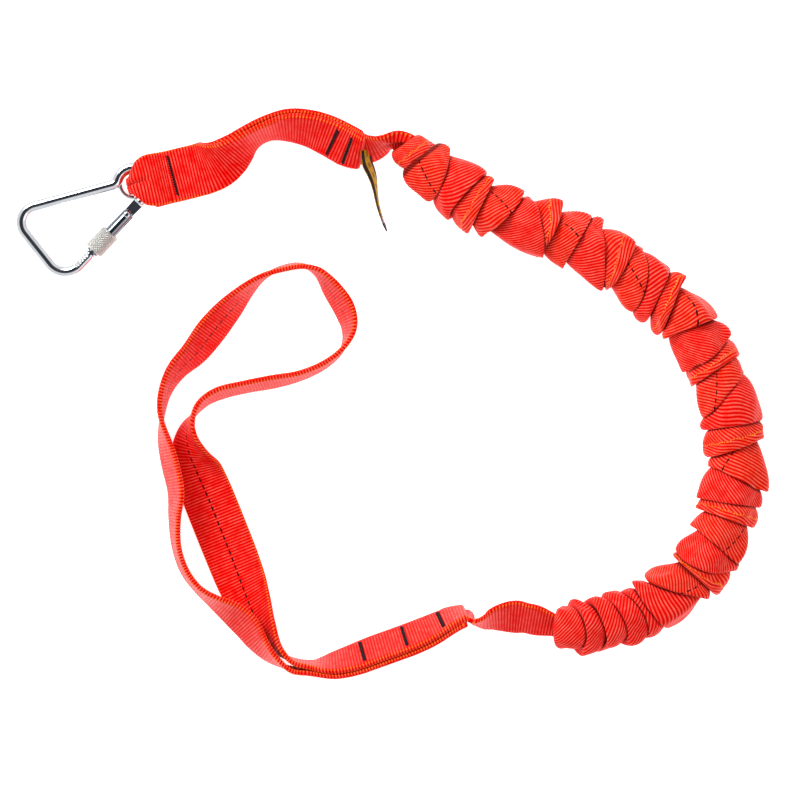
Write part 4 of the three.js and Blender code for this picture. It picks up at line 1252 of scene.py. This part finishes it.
def make_sleeve():
    """The gathered tube in pieces, each from one section's body to the next, cut at creases."""
    cores = []
    near = joint_at["neck_flex"]
    for number in range(1, SECTIONS + 1):
        cores.append(core_stations(f"elastic_core_{number:02d}", near))
        near = cores[-1][-1]
    rail = Rail(np.concatenate(cores))
    plan = fold_plan(rail.length)
    s, radius, ribs, shown, *maps = sleeve_grid(plan)
    cloth = round_rail(rail, s, radius)
    normal = unit(np.cross(np.gradient(cloth, axis=1), np.gradient(cloth, axis=0)))
    outward = cloth - round_rail(rail, s, 0)
    normal *= np.sign(np.sum(normal * outward, axis=-1).mean())
    height = RIB_HEIGHT * (0.5 - 0.5 * np.cos(TAU * ribs / RIB_PITCH)) * shown
    cloth += height[:, :-1, None] * normal
    cloth[..., 2] = np.maximum(cloth[..., 2], RESTING)

    # Each section's body holds the crease that is nearest to its middle.
    middles = (np.arange(SECTIONS) + 0.5) * rail.length / SECTIONS
    held = [int(np.abs(plan["places"] - middle).argmin()) for middle in middles]
    cuts = [0, *held[1:-1], FOLDS]
    for i, (first, last) in enumerate(zip(cuts[:-1], cuts[1:])):
        rows = slice(first * FOLD_ROWS, last * FOLD_ROWS)
        ends = crease(plan, first), crease(plan, last)
        back = np.linspace(1, 0, (last - first) * BORE_ROWS + 1)
        bore = ends[0] * (1 - back[:, None]) + ends[1] * back[:, None]
        rim = round_rail(rail, ends[1][None], plan["foot"][last])
        grid = np.concatenate([cloth[rows], rim, round_rail(rail, bore, BORE_R)])
        uvs = []
        for label, values in zip(("tape", "seam", "tone"), maps):
            inside = np.repeat(values[rows][-1:], len(grid) + 1 - len(values[rows]), axis=0)
            uvs.append((label, np.concatenate([values[rows], inside])))
        piece = swept_ring(f"gathered_sleeve_{i + 1:02d}", grid, GATHERED, uvs)
        share = np.concatenate([np.linspace(0, 1, (last - first) * FOLD_ROWS + 1), back])
        near, far = ((held[j] - first) / (last - first) for j in (i, i + 1))
        weights = np.repeat(np.clip((share - near) / (far - near), 0, 1), ROUND_COLUMNS)
        start, end = rail.places(plan["places"][[held[i], held[i + 1]]])
        blend_along(piece, f"sleeve_{i + 1:02d}", f"sleeve_{i + 2:02d}", start, end, weights)
        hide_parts(f"sleeve_section_{i + 1:02d}")
    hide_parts(f"sleeve_section_{SECTIONS}")


make_sleeve()

# ---------------------------------------------------------------- CAD nodes that are shown as they are
for name, node in frame["nodes"].items():
    soft = name.startswith("elastic") or name == "lock_friction_ring"
    node.data.materials.clear()
    node.data.materials.append(ELASTIC if soft else DARK_STEEL)

# ---------------------------------------------------------------- floor, light and camera
FLOOR_HALF = 4
FLOOR_LEVEL = -0.2 * MM
FLOOR_GLOW = 0.85  # makes the floor as even and pale as paper
SKY = 0.61  # strength of the world's light on cloth and floor; polished steel reflects it at 1
VIEW_SPAN = 0.382  # width of the square that the camera sees, at VIEW_LEVEL above the floor
VIEW_LEVEL = 12 * MM
VIEW_OFFSET = (5.7 * MM, -3.1 * MM)
LENS = 120


def make_floor():
    n = new_material("floor")
    n.set(Base_Color=n.mix(n.noise(4), rgb(250, 250, 250), rgb(246, 246, 246)), Roughness=0.9)
    n.set(Emission_Color=rgb(255, 255, 255), Emission_Strength=FLOOR_GLOW)
    square = rectangle(-FLOOR_HALF, FLOOR_HALF, -FLOOR_HALF, FLOOR_HALF)
    corners = [(x, y, FLOOR_LEVEL) for x, y in square]
    mesh_object("floor", corners, [[(0, 1, 2, 3)]], n.owner)


def make_world():
    """Even pale light. Polished steel also reflects a dark patch straight overhead."""
    n = Nodes(bpy.data.worlds.new("studio"))
    split = n.add("ShaderNodeSeparateXYZ")
    n.link(n.add("ShaderNodeTexCoord").outputs["Generated"], split.inputs[0])
    overhead = n.band(split.outputs[2], 0.8, 1.5, 0.06)
    glossy = n.add("ShaderNodeLightPath").outputs["Is Glossy Ray"]
    shade = n.mix(n.math("MULTIPLY", overhead, glossy), rgb(255, 255, 255), rgb(52, 56, 64))
    background = n.tree.nodes["Background"]
    n.link(shade, background.inputs[0])
    n.link(n.math("MULTIPLY_ADD", glossy, 1 - SKY, SKY), background.inputs[1])
    bpy.context.scene.world = n.owner


def stand(name, data, place):
    """Puts a light or the camera in the scene."""
    made = bpy.data.objects.new(name, data)
    made.location = place
    bpy.context.scene.collection.objects.link(made)
    return made


def soft_light(name, place, size, power):
    """A square light that faces the middle of the floor."""
    light = bpy.data.lights.new(name, "AREA")
    light.size = size
    light.energy = power
    turned = (-Vector(place)).to_track_quat("-Z", "Y")
    stand(name, light, place).rotation_euler = turned.to_euler()


def make_camera():
    """A camera that looks straight down."""
    data = bpy.data.cameras.new("camera")
    data.lens = LENS
    height = VIEW_SPAN * LENS / data.sensor_width + VIEW_LEVEL
    bpy.context.scene.camera = stand("camera", data, (*VIEW_OFFSET, height))


make_floor()
make_world()
soft_light("key", (-0.6, 0.7, 0.9), 0.5, 11)
soft_light("fill", (0.9, -0.5, 1.0), 1.0, 2)
make_camera()
bpy.context.scene.view_settings.view_transform = "Standard"

bpy.context.view_layer.update()
